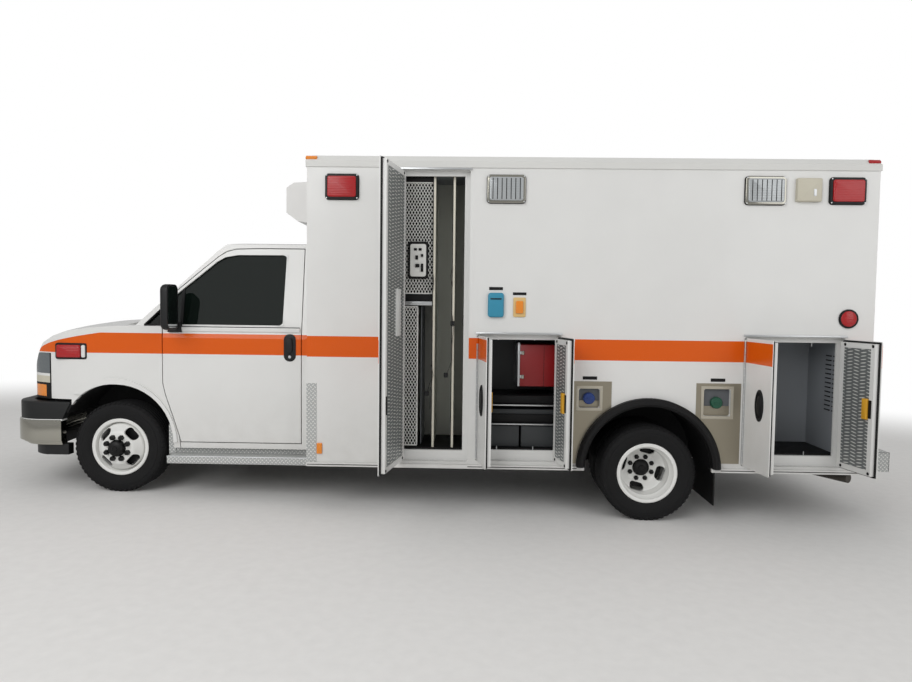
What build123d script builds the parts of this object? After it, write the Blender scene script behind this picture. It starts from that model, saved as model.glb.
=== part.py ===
"""Ambulance: a cutaway van cab with a box-shaped patient module and twin rear wheels.

The body frame has its origin level with the front axle on the centreline, X towards
the rear, Y towards the curb side and Z up from the ground under the rear wheels.
Lengths are in millimetres. The body stands a little nose-down on its springs, so
every finished piece is turned by that rake and set on the ground at the very end.
"""

import os
from math import atan2, cos, degrees, radians, sin

from build123d import *

os.makedirs("parts", exist_ok=True)

# Main sizes
WHEELBASE = 4038.0
MODULE_HALF = 1219.0
EAVE_Z = 2603.0
CAB_HALF = 1000.0

# Stance
FRONT_AXLE_X = 9.0
TYRE_RADIUS = 352.0
AXLE_RISE = 88.8
REAR_AXLE_X = FRONT_AXLE_X + WHEELBASE
REAR_AXLE_Z = TYRE_RADIUS
FRONT_AXLE_Z = REAR_AXLE_Z + AXLE_RISE
RAKE = degrees(atan2(AXLE_RISE, WHEELBASE))
ORIGIN_X = 2550.0
ORIGIN_Y = 234.0

# Wheels
TYRE_WIDTH = 223.0
RIM_RADIUS = 220.0
BEAD_RADIUS = 204.0
RIM_WIDTH = 178.0
RIM_OFFSET = 135.0
RIM_WALL = 9.0
DISC_WALL = 14.0
HUB_RADIUS = 62.0
HUB_PROUD = 38.0
NUT_CIRCLE_RADIUS = 82.5
NUT_RADIUS = 13.0
NUT_COUNT = 8
HAND_HOLE_COUNT = 4
HAND_HOLE_CIRCLE = 142.0
FRONT_TRACK_HALF = CAB_HALF - 110.0
REAR_TRACK_HALF = MODULE_HALF - 249.0
SPINDLE_RADIUS = 30.0
RUNNING_GAP = 1.0
KING_PIN_Y = FRONT_TRACK_HALF - 80.0
STEER_LIMIT = 32.0

# Module body
MODULE_FRONT_X = 1528.0
MODULE_REAR_X = REAR_AXLE_X + 1595.0
WALL = 50.0
SKIRT_Z = 390.0
ROOF_Z = EAVE_Z + 51.0
ROOF_FACET = 42.0
EAVE_LIP_Z = EAVE_Z - 36.0
EAVE_LIP_PROUD = 8.0
FLOOR_TOP_Z = 850.0
FLOOR_THICKNESS = 50.0
SILL_WIDTH = 60.0
RUB_RAIL_LOW_Z = 376.0
RUB_RAIL_HIGH_Z = 404.0
RUB_RAIL_PROUD = 22.0
WHEEL_OPENING_RADIUS = 465.0
WHEEL_OPENING_Z = 391.0
UNDERSIDE_HALF = MODULE_HALF - 459.0
FLARE_BAND = 59.0
FLARE_PROUD = 62.0
WHEELHOUSE_WALL = 20.0
WHEELHOUSE_INNER_Y = REAR_TRACK_HALF - 280.0
WHEEL_CENTRE_X = REAR_AXLE_X - 7.0

# Doors of the module
DOOR_GAP = 6.0
LEAF_THICKNESS = 45.0
SKIN_THICKNESS = 7.0
PAN_INSET = 16.0
PANEL_INSET = 52.0
PANEL_DEPTH = 4.0
HINGE_OUT = 6.0
BARREL_RADIUS = 6.5
LEAF_MEETING_GAP = 8.0
LINER_WALL = 20.0
JAMB_SIDE = 34.0
JAMB_TOP = 30.0
JAMB_FOOT = 68.0

# Cab
CAB_ROOF_HALF = CAB_HALF - 128.0
CAB_SILL_Z = 446.0
BELT_Z = 1388.0
CAB_SHOULDER_Z = 1300.0
CAB_ROOF_EDGE_Z = 2030.0
CAB_ROOF_Z = 2085.0
CAB_WALL = 48.0
CAB_FLOOR_Z = 720.0
CAB_FLOOR_THICKNESS = 40.0
ROCKER_WIDTH = 90.0
NOSE_WALL = 34.0
PANEL_GAP = 7.0
GLASS = 8.0
DOOR_FRONT_X = 353.0
DOOR_REAR_X = 1437.0
DOOR_LOW_Z = 488.0
DOOR_TOP_Z = 2002.0
NOSE_REAR_X = 500.0
WINDSHIELD_FOOT = (140.0, 1390.0)
WINDSHIELD_HEAD = (735.0, 1962.0)
LIP_PROUD = 14.0
# Wheel arch of the cab as two arcs that meet at the top: x, z of their ends and middles
ARCH_INNER = [(-400.0, 700.0), (-200.0, 896.0), (0.0, 934.0), (284.0, 829.0), (442.0, 490.0)]
ARCH_LIP = [(-430.0, 720.0), (-250.0, 927.0), (0.0, 984.0), (286.0, 866.0), (470.0, 490.0)]

# Frame and running gear
RAIL_OUTER_Y = 432.0
RAIL_WIDTH = 64.0
RAIL_WALL = 8.0
RAIL_FRONT_X = -560.0
RAIL_REAR_X = MODULE_REAR_X - 82.0
RAIL_TOP_Z = 740.0
RAIL_HEIGHT = 170.0
FRONT_RAIL_DROP = 90.0
RAIL_RISE_X = (1500.0, 1880.0)

# Stretch of side wall ahead of the rear wheels, as drawn and as the sizes above make it
AHEAD_DRAWN = 2047.0
AHEAD_LENGTH = WHEEL_CENTRE_X - WHEEL_OPENING_RADIUS - MODULE_FRONT_X


def ahead(drawn):
    """Place on the stretch ahead of the rear wheels, from its drawn distance to the front wall."""
    return MODULE_FRONT_X + drawn * AHEAD_LENGTH / AHEAD_DRAWN


# Side openings of the module, with backs that stay clear of the frame and exhaust
# name: front x, rear x, low z, high z, depth
TALL_BACK_Y = 609.0
LOW_BACK_Y = 669.0
INNER_HALF = MODULE_HALF - WALL
STREET_BAYS = {
    "tall": (ahead(677), ahead(1184), 428.0, EAVE_Z - 58, INNER_HALF - TALL_BACK_Y),
    "mid": (ahead(1254), ahead(1862), 436.0, 1357.0, INNER_HALF - LOW_BACK_Y),
    "rear": (REAR_AXLE_X + 677, REAR_AXLE_X + 1393, 428.0, 1362.0, INNER_HALF - LOW_BACK_Y),
}
CURB_BAY = STREET_BAYS["rear"]
ENTRY = (ahead(472), ahead(1232), 470.0, EAVE_Z - 203)
STEP_WELL_DEPTH = 420.0
REAR_DOORWAY_HALF = MODULE_HALF - 579.0
REAR_DOORWAY_TOP_Z = EAVE_Z - 203.0

# Doors that stand open, by the angle from closed
OPEN_ANGLE = {
    "tall_door": 100.0,
    "mid_door_front": 80.0,
    "mid_door_rear": 102.0,
    "bay_door_front": 84.0,
    "bay_door_rear": 101.0,
}


def side_plane(y):
    """Plane facing the street side at a given y, with x rearwards and z up."""
    return Plane.XZ.offset(-y)


def cross_plane(x):
    """Plane facing the rear at a given x, with y to the curb side and z up."""
    return Plane.YZ.offset(x)


def span(low, high, mode=Mode.ADD):
    """Block between two corners, in the part that is being built."""
    size = [b - a for a, b in zip(low, high)]
    with Locations(tuple((a + b) / 2 for a, b in zip(low, high))):
        Box(*size, mode=mode)


def outline(points):
    """Closed face from a few corner points, in the sketch that is being built."""
    with BuildLine() as line:
        Polyline(*points, close=True)
    make_face(line.edges())


def standing(piece):
    """Piece turned by the rake and set on the ground, about the shared origin."""
    turned = piece.rotate(Axis.Y, -RAKE)
    return turned.moved(Location((-ORIGIN_X, ORIGIN_Y, STAND_Z)))


def standing_point(x, y, z):
    """Point of the body frame, after the rake and the move."""
    angle = radians(RAKE)
    return (
        x * cos(angle) - z * sin(angle) - ORIGIN_X,
        y + ORIGIN_Y,
        x * sin(angle) + z * cos(angle) + STAND_Z,
    )


# Height of the rear wheels' centre after the rake is the tyre's radius
STAND_Z = TYRE_RADIUS - (REAR_AXLE_X * sin(radians(RAKE)) + REAR_AXLE_Z * cos(radians(RAKE)))

pieces = {}


# Tyres and rims about the Y axis, with the outer side of the vehicle towards -Y
def tyre(centre_ys):
    """Tyres with a bevelled shoulder and a bulged sidewall."""
    half = TYRE_WIDTH / 2
    with BuildPart() as body:
        for centre in centre_ys:
            with BuildSketch(Plane.XY):
                with BuildLine():
                    Line((BEAD_RADIUS, centre - 73), (BEAD_RADIUS, centre + 73))
                    for side in (-1, 1):
                        Polyline(
                            (BEAD_RADIUS, centre + side * 73),
                            (RIM_RADIUS + 1, centre + side * 82),
                            (RIM_RADIUS + 8, centre + side * 92),
                        )
                        Polyline(
                            (RIM_RADIUS + 8, centre + side * 92),
                            (RIM_RADIUS + 32, centre + side * (half - 4)),
                            (TYRE_RADIUS - 68, centre + side * half),
                            (TYRE_RADIUS - 30, centre + side * (half - 5)),
                            (TYRE_RADIUS - 12, centre + side * 97),
                            (TYRE_RADIUS, centre + side * 80),
                        )
                    Line((TYRE_RADIUS, centre - 80), (TYRE_RADIUS, centre + 80))
                make_face()
            revolve(axis=Axis.Y)
    return body.part


def rim_section(centre, disc):
    """Half section of a steel wheel: a dropped barrel and a disc dished out to the hub face."""
    half = RIM_WIDTH / 2
    out = 1 if disc > centre else -1
    seat = BEAD_RADIUS - 1
    with BuildLine() as line:
        Polyline(
            (RIM_RADIUS, centre - half),
            (RIM_RADIUS, centre - half + 6),
            (seat, centre - half + 12),
            (seat, centre - 45),
            (seat - 18, centre - 30),
            (seat - 18, centre + 30),
            (seat, centre + 45),
            (seat, centre + half - 12),
            (RIM_RADIUS, centre + half - 6),
            (RIM_RADIUS, centre + half),
            (seat - RIM_WALL, centre + half),
            (seat - 18 - RIM_WALL, centre + 34),
            (seat - 18 - RIM_WALL, centre - 34),
            (seat - RIM_WALL, centre - half),
            close=True,
        )
    make_face(line.edges())
    with BuildLine() as line:
        Polyline(
            (seat - 18, centre + out * 20),
            (165, disc - out * 46),
            (120, disc),
            (HUB_RADIUS - 6, disc),
            (HUB_RADIUS - 6, disc - out * DISC_WALL),
            (114, disc - out * DISC_WALL),
            (156, disc - out * (46 + DISC_WALL)),
            (seat - 18 - RIM_WALL, centre - out * 4),
            close=True,
        )
    make_face(line.edges())


def disc_features(disc, outwards):
    """Hand holes through the dish and the ring of wheel nuts on the hub face."""
    with BuildSketch(side_plane(disc + outwards * 80)) as holes:
        with PolarLocations(HAND_HOLE_CIRCLE, HAND_HOLE_COUNT, start_angle=45):
            SlotOverall(58, 34, rotation=90)
    extrude(holes.sketch, amount=160, dir=(0, -outwards, 0), mode=Mode.SUBTRACT)
    with BuildSketch(side_plane(disc)) as nuts:
        with PolarLocations(NUT_CIRCLE_RADIUS, NUT_COUNT, start_angle=22.5):
            RegularPolygon(NUT_RADIUS, 6)
    extrude(nuts.sketch, amount=24, dir=(0, outwards, 0))


def front_rim():
    """Front wheel about its centre plane: the dish stands out past the rim."""
    disc = -RIM_OFFSET
    with BuildPart() as body:
        with BuildSketch(Plane.XY):
            rim_section(0, disc)
        revolve(axis=Axis.Y)
        disc_features(disc, -1)
        with BuildSketch(Plane.XY):
            outline(
                [
                    (0, disc - HUB_PROUD),
                    (HUB_RADIUS - 22, disc - HUB_PROUD),
                    (HUB_RADIUS - 14, disc - HUB_PROUD + 10),
                    (HUB_RADIUS, disc),
                    (HUB_RADIUS, disc + 62),
                    (SPINDLE_RADIUS + RUNNING_GAP, disc + 62),
                    (SPINDLE_RADIUS + RUNNING_GAP, disc + 2),
                    (0, disc + 2),
                ]
            )
        revolve(axis=Axis.Y)
    return body.part


def twin_rims():
    """Twin wheels back to back on one hub, about the hub face."""
    with BuildPart() as body:
        for offset in (-RIM_OFFSET, RIM_OFFSET):
            disc = -DISC_WALL if offset < 0 else DISC_WALL
            with BuildSketch(Plane.XY):
                rim_section(offset, disc * 0.999)
            revolve(axis=Axis.Y)
        disc_features(-DISC_WALL - 1, -1)
        with BuildSketch(Plane.XY):
            outline(
                [
                    (0, -DISC_WALL - HUB_PROUD),
                    (HUB_RADIUS - 12, -DISC_WALL - HUB_PROUD),
                    (HUB_RADIUS, -DISC_WALL - HUB_PROUD + 12),
                    (HUB_RADIUS, 70),
                    (SPINDLE_RADIUS + RUNNING_GAP, 70),
                    (SPINDLE_RADIUS + RUNNING_GAP, -10),
                    (0, -10),
                ]
            )
        revolve(axis=Axis.Y)
    return body.part


front_tyre = tyre([0])
rear_tyres = tyre([-RIM_OFFSET, RIM_OFFSET])
front_wheel_rim = front_rim()
rear_wheel_rims = twin_rims()
for side, name in ((-1, "left"), (1, "right")):
    front_place = Location((FRONT_AXLE_X, -FRONT_TRACK_HALF, FRONT_AXLE_Z))
    rear_place = Location((REAR_AXLE_X, -REAR_TRACK_HALF, REAR_AXLE_Z))
    wheel_set = {
        f"front_tyre_{name}": front_tyre.moved(front_place),
        f"front_rim_{name}": front_wheel_rim.moved(front_place),
        f"rear_tyres_{name}": rear_tyres.moved(rear_place),
        f"rear_rims_{name}": rear_wheel_rims.moved(rear_place),
    }
    for label, wheel in wheel_set.items():
        pieces[label] = wheel if side < 0 else wheel.mirror(Plane.XZ)

# Steering knuckle: king pin, upright and spindle, for the street side
KNUCKLE_HALF_HEIGHT = 104.0
ARM_GAP = 2.0
with BuildPart() as knuckle_left:
    with BuildSketch(
        Plane(
            origin=(FRONT_AXLE_X, -KING_PIN_Y, FRONT_AXLE_Z),
            z_dir=(sin(radians(RAKE)), 0, cos(radians(RAKE))),
        )
    ):
        Circle(24)
    extrude(amount=KNUCKLE_HALF_HEIGHT, both=True)
    with BuildSketch(side_plane(-KING_PIN_Y + 15)):
        with Locations((FRONT_AXLE_X, FRONT_AXLE_Z)):
            Rectangle(70, 150)
    extrude(amount=32)
    with BuildSketch(side_plane(-KING_PIN_Y)):
        with Locations((FRONT_AXLE_X, FRONT_AXLE_Z)):
            Circle(SPINDLE_RADIUS)
    extrude(amount=FRONT_TRACK_HALF + RIM_OFFSET - KING_PIN_Y - 8)
pieces["knuckle_left"] = knuckle_left.part
pieces["knuckle_right"] = knuckle_left.part.mirror(Plane.XZ)

# Front suspension: a cross beam under the engine with a pair of arms at each end
ARM_WIDTH = 110.0
ARM_THICKNESS = 30.0
BEAM_LOW_Z = 300.0
with BuildPart() as front_suspension:
    span(
        (FRONT_AXLE_X - 90, -RAIL_OUTER_Y, BEAM_LOW_Z),
        (FRONT_AXLE_X + 90, RAIL_OUTER_Y, BEAM_LOW_Z + 110),
    )
    for side in (-1, 1):
        lower_top = FRONT_AXLE_Z - KNUCKLE_HALF_HEIGHT - ARM_GAP
        upper_low = FRONT_AXLE_Z + KNUCKLE_HALF_HEIGHT + ARM_GAP
        for low in (lower_top - ARM_THICKNESS, upper_low):
            with BuildSketch(Plane.XY.offset(low)):
                outline(
                    [
                        (FRONT_AXLE_X - ARM_WIDTH, side * RAIL_OUTER_Y),
                        (FRONT_AXLE_X + ARM_WIDTH, side * RAIL_OUTER_Y),
                        (FRONT_AXLE_X + 30, side * KING_PIN_Y),
                        (FRONT_AXLE_X - 30, side * KING_PIN_Y),
                    ]
                )
                with Locations((FRONT_AXLE_X, side * KING_PIN_Y)):
                    Circle(30)
            extrude(amount=ARM_THICKNESS)
        span(
            (FRONT_AXLE_X - 70, side * 400 - 32, BEAM_LOW_Z),
            (FRONT_AXLE_X + 70, side * 400 + 32, RAIL_TOP_Z - FRONT_RAIL_DROP - RAIL_HEIGHT),
        )
        span(
            (FRONT_AXLE_X - ARM_WIDTH, side * 447 - 15, upper_low),
            (FRONT_AXLE_X + ARM_WIDTH, side * 447 + 15, upper_low + ARM_THICKNESS),
        )
pieces["front_suspension"] = front_suspension.part

# Frame rails: channels with a drop ahead of the module
with BuildPart() as frame_rail_left:
    drop = FRONT_RAIL_DROP
    top = [
        (RAIL_FRONT_X, RAIL_TOP_Z - drop),
        (RAIL_RISE_X[0], RAIL_TOP_Z - drop),
        (RAIL_RISE_X[1], RAIL_TOP_Z),
        (RAIL_REAR_X, RAIL_TOP_Z),
    ]
    bottom = [(x, z - RAIL_HEIGHT) for x, z in reversed(top)]
    with BuildSketch(side_plane(-RAIL_OUTER_Y + RAIL_WIDTH)):
        outline(top + bottom)
    extrude(amount=RAIL_WIDTH)
    inner_top = [(x, z - RAIL_WALL) for x, z in top]
    inner_bottom = [(x, z + RAIL_WALL) for x, z in bottom]
    with BuildSketch(side_plane(-RAIL_OUTER_Y + RAIL_WIDTH)):
        outline(inner_top + inner_bottom)
    extrude(amount=RAIL_WIDTH - RAIL_WALL, mode=Mode.SUBTRACT)
pieces["frame_rails"] = Compound(
    children=[frame_rail_left.part, frame_rail_left.part.mirror(Plane.XZ)]
)

# Cross members between the rails
CROSSMEMBER_XS = (-500.0, 1320.0, 2300.0, 3300.0, REAR_AXLE_X + 283, REAR_AXLE_X + 1253)
CROSSMEMBER_HEIGHT = 90.0
RAIL_INNER_Y = RAIL_OUTER_Y - RAIL_WIDTH
with BuildPart() as frame_crossmembers:
    for x in CROSSMEMBER_XS:
        high = RAIL_TOP_Z - (FRONT_RAIL_DROP if x < RAIL_RISE_X[0] else 0)
        low = high - CROSSMEMBER_HEIGHT
        span((x - 40, -RAIL_INNER_Y, low), (x + 40, RAIL_INNER_Y, high))
        span(
            (x - 40 + RAIL_WALL, -RAIL_INNER_Y, low - 1),
            (x + 40 - RAIL_WALL, RAIL_INNER_Y, high - RAIL_WALL),
            mode=Mode.SUBTRACT,
        )
pieces["frame_crossmembers"] = frame_crossmembers.part

# Engine with gearbox and drive shaft, as one plain chain of blocks
SHAFT_RADIUS = 45.0
GEARBOX_END = (1180.0, 500.0)
DIFF_NOSE = (REAR_AXLE_X - 230.0, REAR_AXLE_Z)
with BuildPart() as powertrain:
    span((-380, -290, 560), (300, 290, 1090))
    span((300, -170, 430), (GEARBOX_END[0], 170, 600))
    shaft = Vector(DIFF_NOSE[0] - GEARBOX_END[0], 0, DIFF_NOSE[1] - GEARBOX_END[1])
    with BuildSketch(Plane(origin=(GEARBOX_END[0], 0, GEARBOX_END[1]), z_dir=shaft)):
        Circle(SHAFT_RADIUS)
    extrude(amount=shaft.length - 4)
pieces["powertrain"] = powertrain.part

# Rear axle with its differential and leaf springs
SPRING_Y = REAR_TRACK_HALF - 450.0
SPRING_WIDTH = 76.0
SPRING_HALF_SPAN = 660.0
SPRING_THICKNESS = 50.0
SPRING_EYE_Z = 500.0
with BuildPart() as rear_axle:
    with BuildSketch(side_plane(REAR_TRACK_HALF - 12)):
        with Locations((REAR_AXLE_X, REAR_AXLE_Z)):
            Circle(SPINDLE_RADIUS)
    extrude(amount=2 * (REAR_TRACK_HALF - 12))
    with BuildSketch(side_plane(REAR_TRACK_HALF - 80)):
        with Locations((REAR_AXLE_X, REAR_AXLE_Z)):
            Circle(58)
    extrude(amount=2 * (REAR_TRACK_HALF - 80))
    with BuildSketch(Plane.XZ) as housing:
        outline(
            [
                (DIFF_NOSE[0], REAR_AXLE_Z),
                (DIFF_NOSE[0], REAR_AXLE_Z + 70),
                (REAR_AXLE_X - 150, REAR_AXLE_Z + 90),
                (REAR_AXLE_X - 90, REAR_AXLE_Z + 165),
                (REAR_AXLE_X + 90, REAR_AXLE_Z + 165),
                (REAR_AXLE_X + 150, REAR_AXLE_Z + 100),
                (REAR_AXLE_X + 150, REAR_AXLE_Z),
            ]
        )
    revolve(housing.sketch, axis=Axis((0, 0, REAR_AXLE_Z), (1, 0, 0)))
    for side in (-1, 1):
        with BuildSketch(side_plane(side * SPRING_Y + SPRING_WIDTH / 2)):
            with BuildLine():
                ThreePointArc(
                    (REAR_AXLE_X - SPRING_HALF_SPAN, SPRING_EYE_Z),
                    (REAR_AXLE_X, REAR_AXLE_Z + 58),
                    (REAR_AXLE_X + SPRING_HALF_SPAN, SPRING_EYE_Z),
                )
                Line(
                    (REAR_AXLE_X + SPRING_HALF_SPAN, SPRING_EYE_Z),
                    (REAR_AXLE_X + SPRING_HALF_SPAN, SPRING_EYE_Z + SPRING_THICKNESS),
                )
                ThreePointArc(
                    (REAR_AXLE_X + SPRING_HALF_SPAN, SPRING_EYE_Z + SPRING_THICKNESS),
                    (REAR_AXLE_X, REAR_AXLE_Z + 58 + SPRING_THICKNESS),
                    (REAR_AXLE_X - SPRING_HALF_SPAN, SPRING_EYE_Z + SPRING_THICKNESS),
                )
                Line(
                    (REAR_AXLE_X - SPRING_HALF_SPAN, SPRING_EYE_Z + SPRING_THICKNESS),
                    (REAR_AXLE_X - SPRING_HALF_SPAN, SPRING_EYE_Z),
                )
            make_face()
        extrude(amount=SPRING_WIDTH)
        for end in (-1, 1):
            x = REAR_AXLE_X + end * (SPRING_HALF_SPAN - 20)
            edge = sorted((side * RAIL_OUTER_Y, side * (SPRING_Y + SPRING_WIDTH / 2)))
            span((x - 45, edge[0], SPRING_EYE_Z), (x + 45, edge[1], RAIL_TOP_Z - 60))
        seat = sorted((side * (SPRING_Y - 55), side * (SPRING_Y + 55)))
        span(
            (REAR_AXLE_X - 60, seat[0], REAR_AXLE_Z - 70),
            (REAR_AXLE_X + 60, seat[1], REAR_AXLE_Z + 80 + SPRING_THICKNESS),
        )
pieces["rear_axle"] = rear_axle.part

# Fuel tank between the rails, behind the axle
TANK_X = (REAR_AXLE_X + 383, REAR_AXLE_X + 1153)
TANK_HALF = SPRING_Y - SPRING_WIDTH / 2 - 126
with BuildPart() as fuel_tank:
    span((TANK_X[0], -TANK_HALF, 400), (TANK_X[1], TANK_HALF, 640))
    fillet(fuel_tank.edges().filter_by(Axis.Y), radius=50)
pieces["fuel_tank"] = fuel_tank.part

# Exhaust: down pipe, muffler and a tail pipe that leaves behind the street side wheels
EXHAUST_RADIUS = 34.0
MUFFLER_Y = -522.0
TAIL_Y = -(WHEELHOUSE_INNER_Y - 62)
EXHAUST_ROUTE = [
    (900, -230, 470),
    (1150, -334, 430),
    (1500, MUFFLER_Y, 430),
    (2700, MUFFLER_Y, 450),
    (REAR_AXLE_X - 897, TAIL_Y, 520),
    (REAR_AXLE_X + 513, TAIL_Y, 560),
    (REAR_AXLE_X + 853, TAIL_Y, 350),
    (REAR_AXLE_X + 1253, TAIL_Y - 172, 338),
    (REAR_AXLE_X + 1473, -MODULE_HALF + 29, 338),
]
with BuildPart() as exhaust:
    with BuildLine() as route:
        FilletPolyline(*EXHAUST_ROUTE, radius=110)
    with BuildSketch(Plane(origin=route.line @ 0, z_dir=route.line % 0)):
        Circle(EXHAUST_RADIUS)
    sweep(path=route.line)
    with BuildSketch(cross_plane(1700)):
        with Locations((MUFFLER_Y, 436)):
            Ellipse(68, 85)
    extrude(amount=620)
pieces["exhaust"] = exhaust.part


# Module walls
def bay_hole(bay, gap=DOOR_GAP):
    """Rectangle of a side door's opening in the wall, in the current sketch."""
    x0, x1, z0, z1 = bay[:4]
    with Locations(((x0 + x1) / 2, (z0 + z1) / 2)):
        RectangleRounded(x1 - x0 + 2 * gap, z1 - z0 + 2 * gap, 14)


def side_wall(side, holes):
    """Side wall with its rub rail, its wheel opening and its door openings."""
    outer = side * MODULE_HALF
    start = outer if side > 0 else outer + WALL
    rail_start = outer + RUB_RAIL_PROUD if side > 0 else outer
    with BuildPart() as wall:
        with BuildSketch(side_plane(start)):
            with Locations(((MODULE_FRONT_X + MODULE_REAR_X) / 2, (SKIRT_Z + EAVE_Z) / 2)):
                Rectangle(MODULE_REAR_X - MODULE_FRONT_X, EAVE_Z - SKIRT_Z)
        extrude(amount=WALL)
        with BuildSketch(side_plane(rail_start)):
            with Locations(
                ((MODULE_FRONT_X + MODULE_REAR_X) / 2, (RUB_RAIL_LOW_Z + RUB_RAIL_HIGH_Z) / 2)
            ):
                Rectangle(MODULE_REAR_X - MODULE_FRONT_X, RUB_RAIL_HIGH_Z - RUB_RAIL_LOW_Z)
        extrude(amount=RUB_RAIL_PROUD)
        with BuildSketch(side_plane(outer + 100)):
            for hole in holes:
                bay_hole(hole)
            with Locations((WHEEL_CENTRE_X, WHEEL_OPENING_Z)):
                Circle(WHEEL_OPENING_RADIUS)
        extrude(amount=200, mode=Mode.SUBTRACT)
    return wall.part


# Filler recesses in the street side: centre x, centre z, width, height
FILLER_RECESSES = [
    (REAR_AXLE_X - 442, 907.0, 153.0, 142.0),
    (REAR_AXLE_X + 487, 888.0, 195.0, 199.0),
]
RECESS_DEPTH = 32.0
with BuildPart() as module_wall_left:
    add(side_wall(-1, list(STREET_BAYS.values())))
    with BuildSketch(side_plane(-MODULE_HALF + RECESS_DEPTH)):
        for x, z, width, height in FILLER_RECESSES:
            with Locations((x, z)):
                RectangleRounded(width, height, 18)
    extrude(amount=RECESS_DEPTH + 1, mode=Mode.SUBTRACT)
    with BuildSketch(side_plane(-MODULE_HALF + RECESS_DEPTH)):
        for x, z, width, height in FILLER_RECESSES:
            with Locations((x, z)):
                Circle(38)
    extrude(amount=RECESS_DEPTH - 6)
pieces["module_wall_left"] = module_wall_left.part
pieces["module_wall_right"] = side_wall(1, [CURB_BAY, ENTRY])

PASSAGE_HALF = 330.0
PASSAGE_LOW_Z = 900.0
PASSAGE_HIGH_Z = 1780.0
CONDENSER_HALF = CAB_HALF - 300.0
CONDENSER_LOW_Z = CAB_ROOF_Z + 125.0
CONDENSER_HEIGHT = EAVE_Z - 48.0 - CONDENSER_LOW_Z
with BuildPart() as module_wall_front:
    span((MODULE_FRONT_X, -INNER_HALF, SKIRT_Z), (MODULE_FRONT_X + WALL, INNER_HALF, EAVE_Z))
    span(
        (MODULE_FRONT_X - 1, -UNDERSIDE_HALF, SKIRT_Z - 1),
        (MODULE_FRONT_X + WALL + 1, UNDERSIDE_HALF, FLOOR_TOP_Z - FLOOR_THICKNESS),
        mode=Mode.SUBTRACT,
    )
    span(
        (MODULE_FRONT_X - 1, -PASSAGE_HALF, PASSAGE_LOW_Z),
        (MODULE_FRONT_X + WALL + 1, PASSAGE_HALF, PASSAGE_HIGH_Z),
        mode=Mode.SUBTRACT,
    )
pieces["module_wall_front"] = module_wall_front.part

with BuildPart() as condenser:
    with BuildSketch(side_plane(CONDENSER_HALF)):
        outline(
            [
                (MODULE_FRONT_X, CONDENSER_LOW_Z),
                (MODULE_FRONT_X, CONDENSER_LOW_Z + CONDENSER_HEIGHT),
                (MODULE_FRONT_X - 228, CONDENSER_LOW_Z + 0.96 * CONDENSER_HEIGHT),
                (MODULE_FRONT_X - 288, CONDENSER_LOW_Z + 0.84 * CONDENSER_HEIGHT),
                (MODULE_FRONT_X - 288, CONDENSER_LOW_Z + 0.26 * CONDENSER_HEIGHT),
                (MODULE_FRONT_X - 198, CONDENSER_LOW_Z + 0.07 * CONDENSER_HEIGHT),
            ]
        )
    extrude(amount=2 * CONDENSER_HALF)
pieces["condenser"] = condenser.part

with BuildPart() as module_wall_rear:
    span((MODULE_REAR_X - WALL, -INNER_HALF, SKIRT_Z), (MODULE_REAR_X, INNER_HALF, EAVE_Z))
    span(
        (MODULE_REAR_X - WALL - 1, -REAR_DOORWAY_HALF - DOOR_GAP, FLOOR_TOP_Z - DOOR_GAP),
        (MODULE_REAR_X + 1, REAR_DOORWAY_HALF + DOOR_GAP, REAR_DOORWAY_TOP_Z + DOOR_GAP),
        mode=Mode.SUBTRACT,
    )
pieces["module_wall_rear"] = module_wall_rear.part

with BuildPart() as module_roof:
    proud = EAVE_LIP_PROUD
    span(
        (MODULE_FRONT_X - proud, -MODULE_HALF - proud, EAVE_LIP_Z),
        (MODULE_REAR_X + proud, MODULE_HALF + proud, ROOF_Z),
    )
    chamfer(module_roof.faces().sort_by(Axis.Z)[-1].edges(), length=ROOF_FACET)
    span(
        (MODULE_FRONT_X, -MODULE_HALF, EAVE_LIP_Z - 1),
        (MODULE_REAR_X, MODULE_HALF, EAVE_Z),
        mode=Mode.SUBTRACT,
    )
pieces["module_roof"] = module_roof.part


# Compartment liners: welded boxes behind the side walls, with a jamb round the mouth
def liner(bay, side):
    """Compartment box with a narrower mouth that the closed door seals on."""
    x0, x1, z0, z1, depth = bay
    inner = side * INNER_HALF
    back = side * (INNER_HALF - depth)
    low_y, high_y = sorted((inner, back))
    with BuildPart() as box:
        span(
            (x0 - LINER_WALL, low_y, z0 - LINER_WALL),
            (x1 + LINER_WALL, high_y, z1 + LINER_WALL),
        )
        cavity = sorted((inner - side * LINER_WALL, back + side * LINER_WALL))
        span((x0, cavity[0], z0 + JAMB_FOOT), (x1, cavity[1], z1), mode=Mode.SUBTRACT)
        mouth = sorted((inner + side, inner - side * (LINER_WALL + 1)))
        span(
            (x0 + JAMB_SIDE, mouth[0], z0 + JAMB_FOOT),
            (x1 - JAMB_SIDE, mouth[1], z1 - JAMB_TOP),
            mode=Mode.SUBTRACT,
        )
    return box.part


liners = [liner(bay, -1) for bay in STREET_BAYS.values()] + [liner(CURB_BAY, 1)]
pieces["compartments"] = Compound(children=liners)

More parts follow.
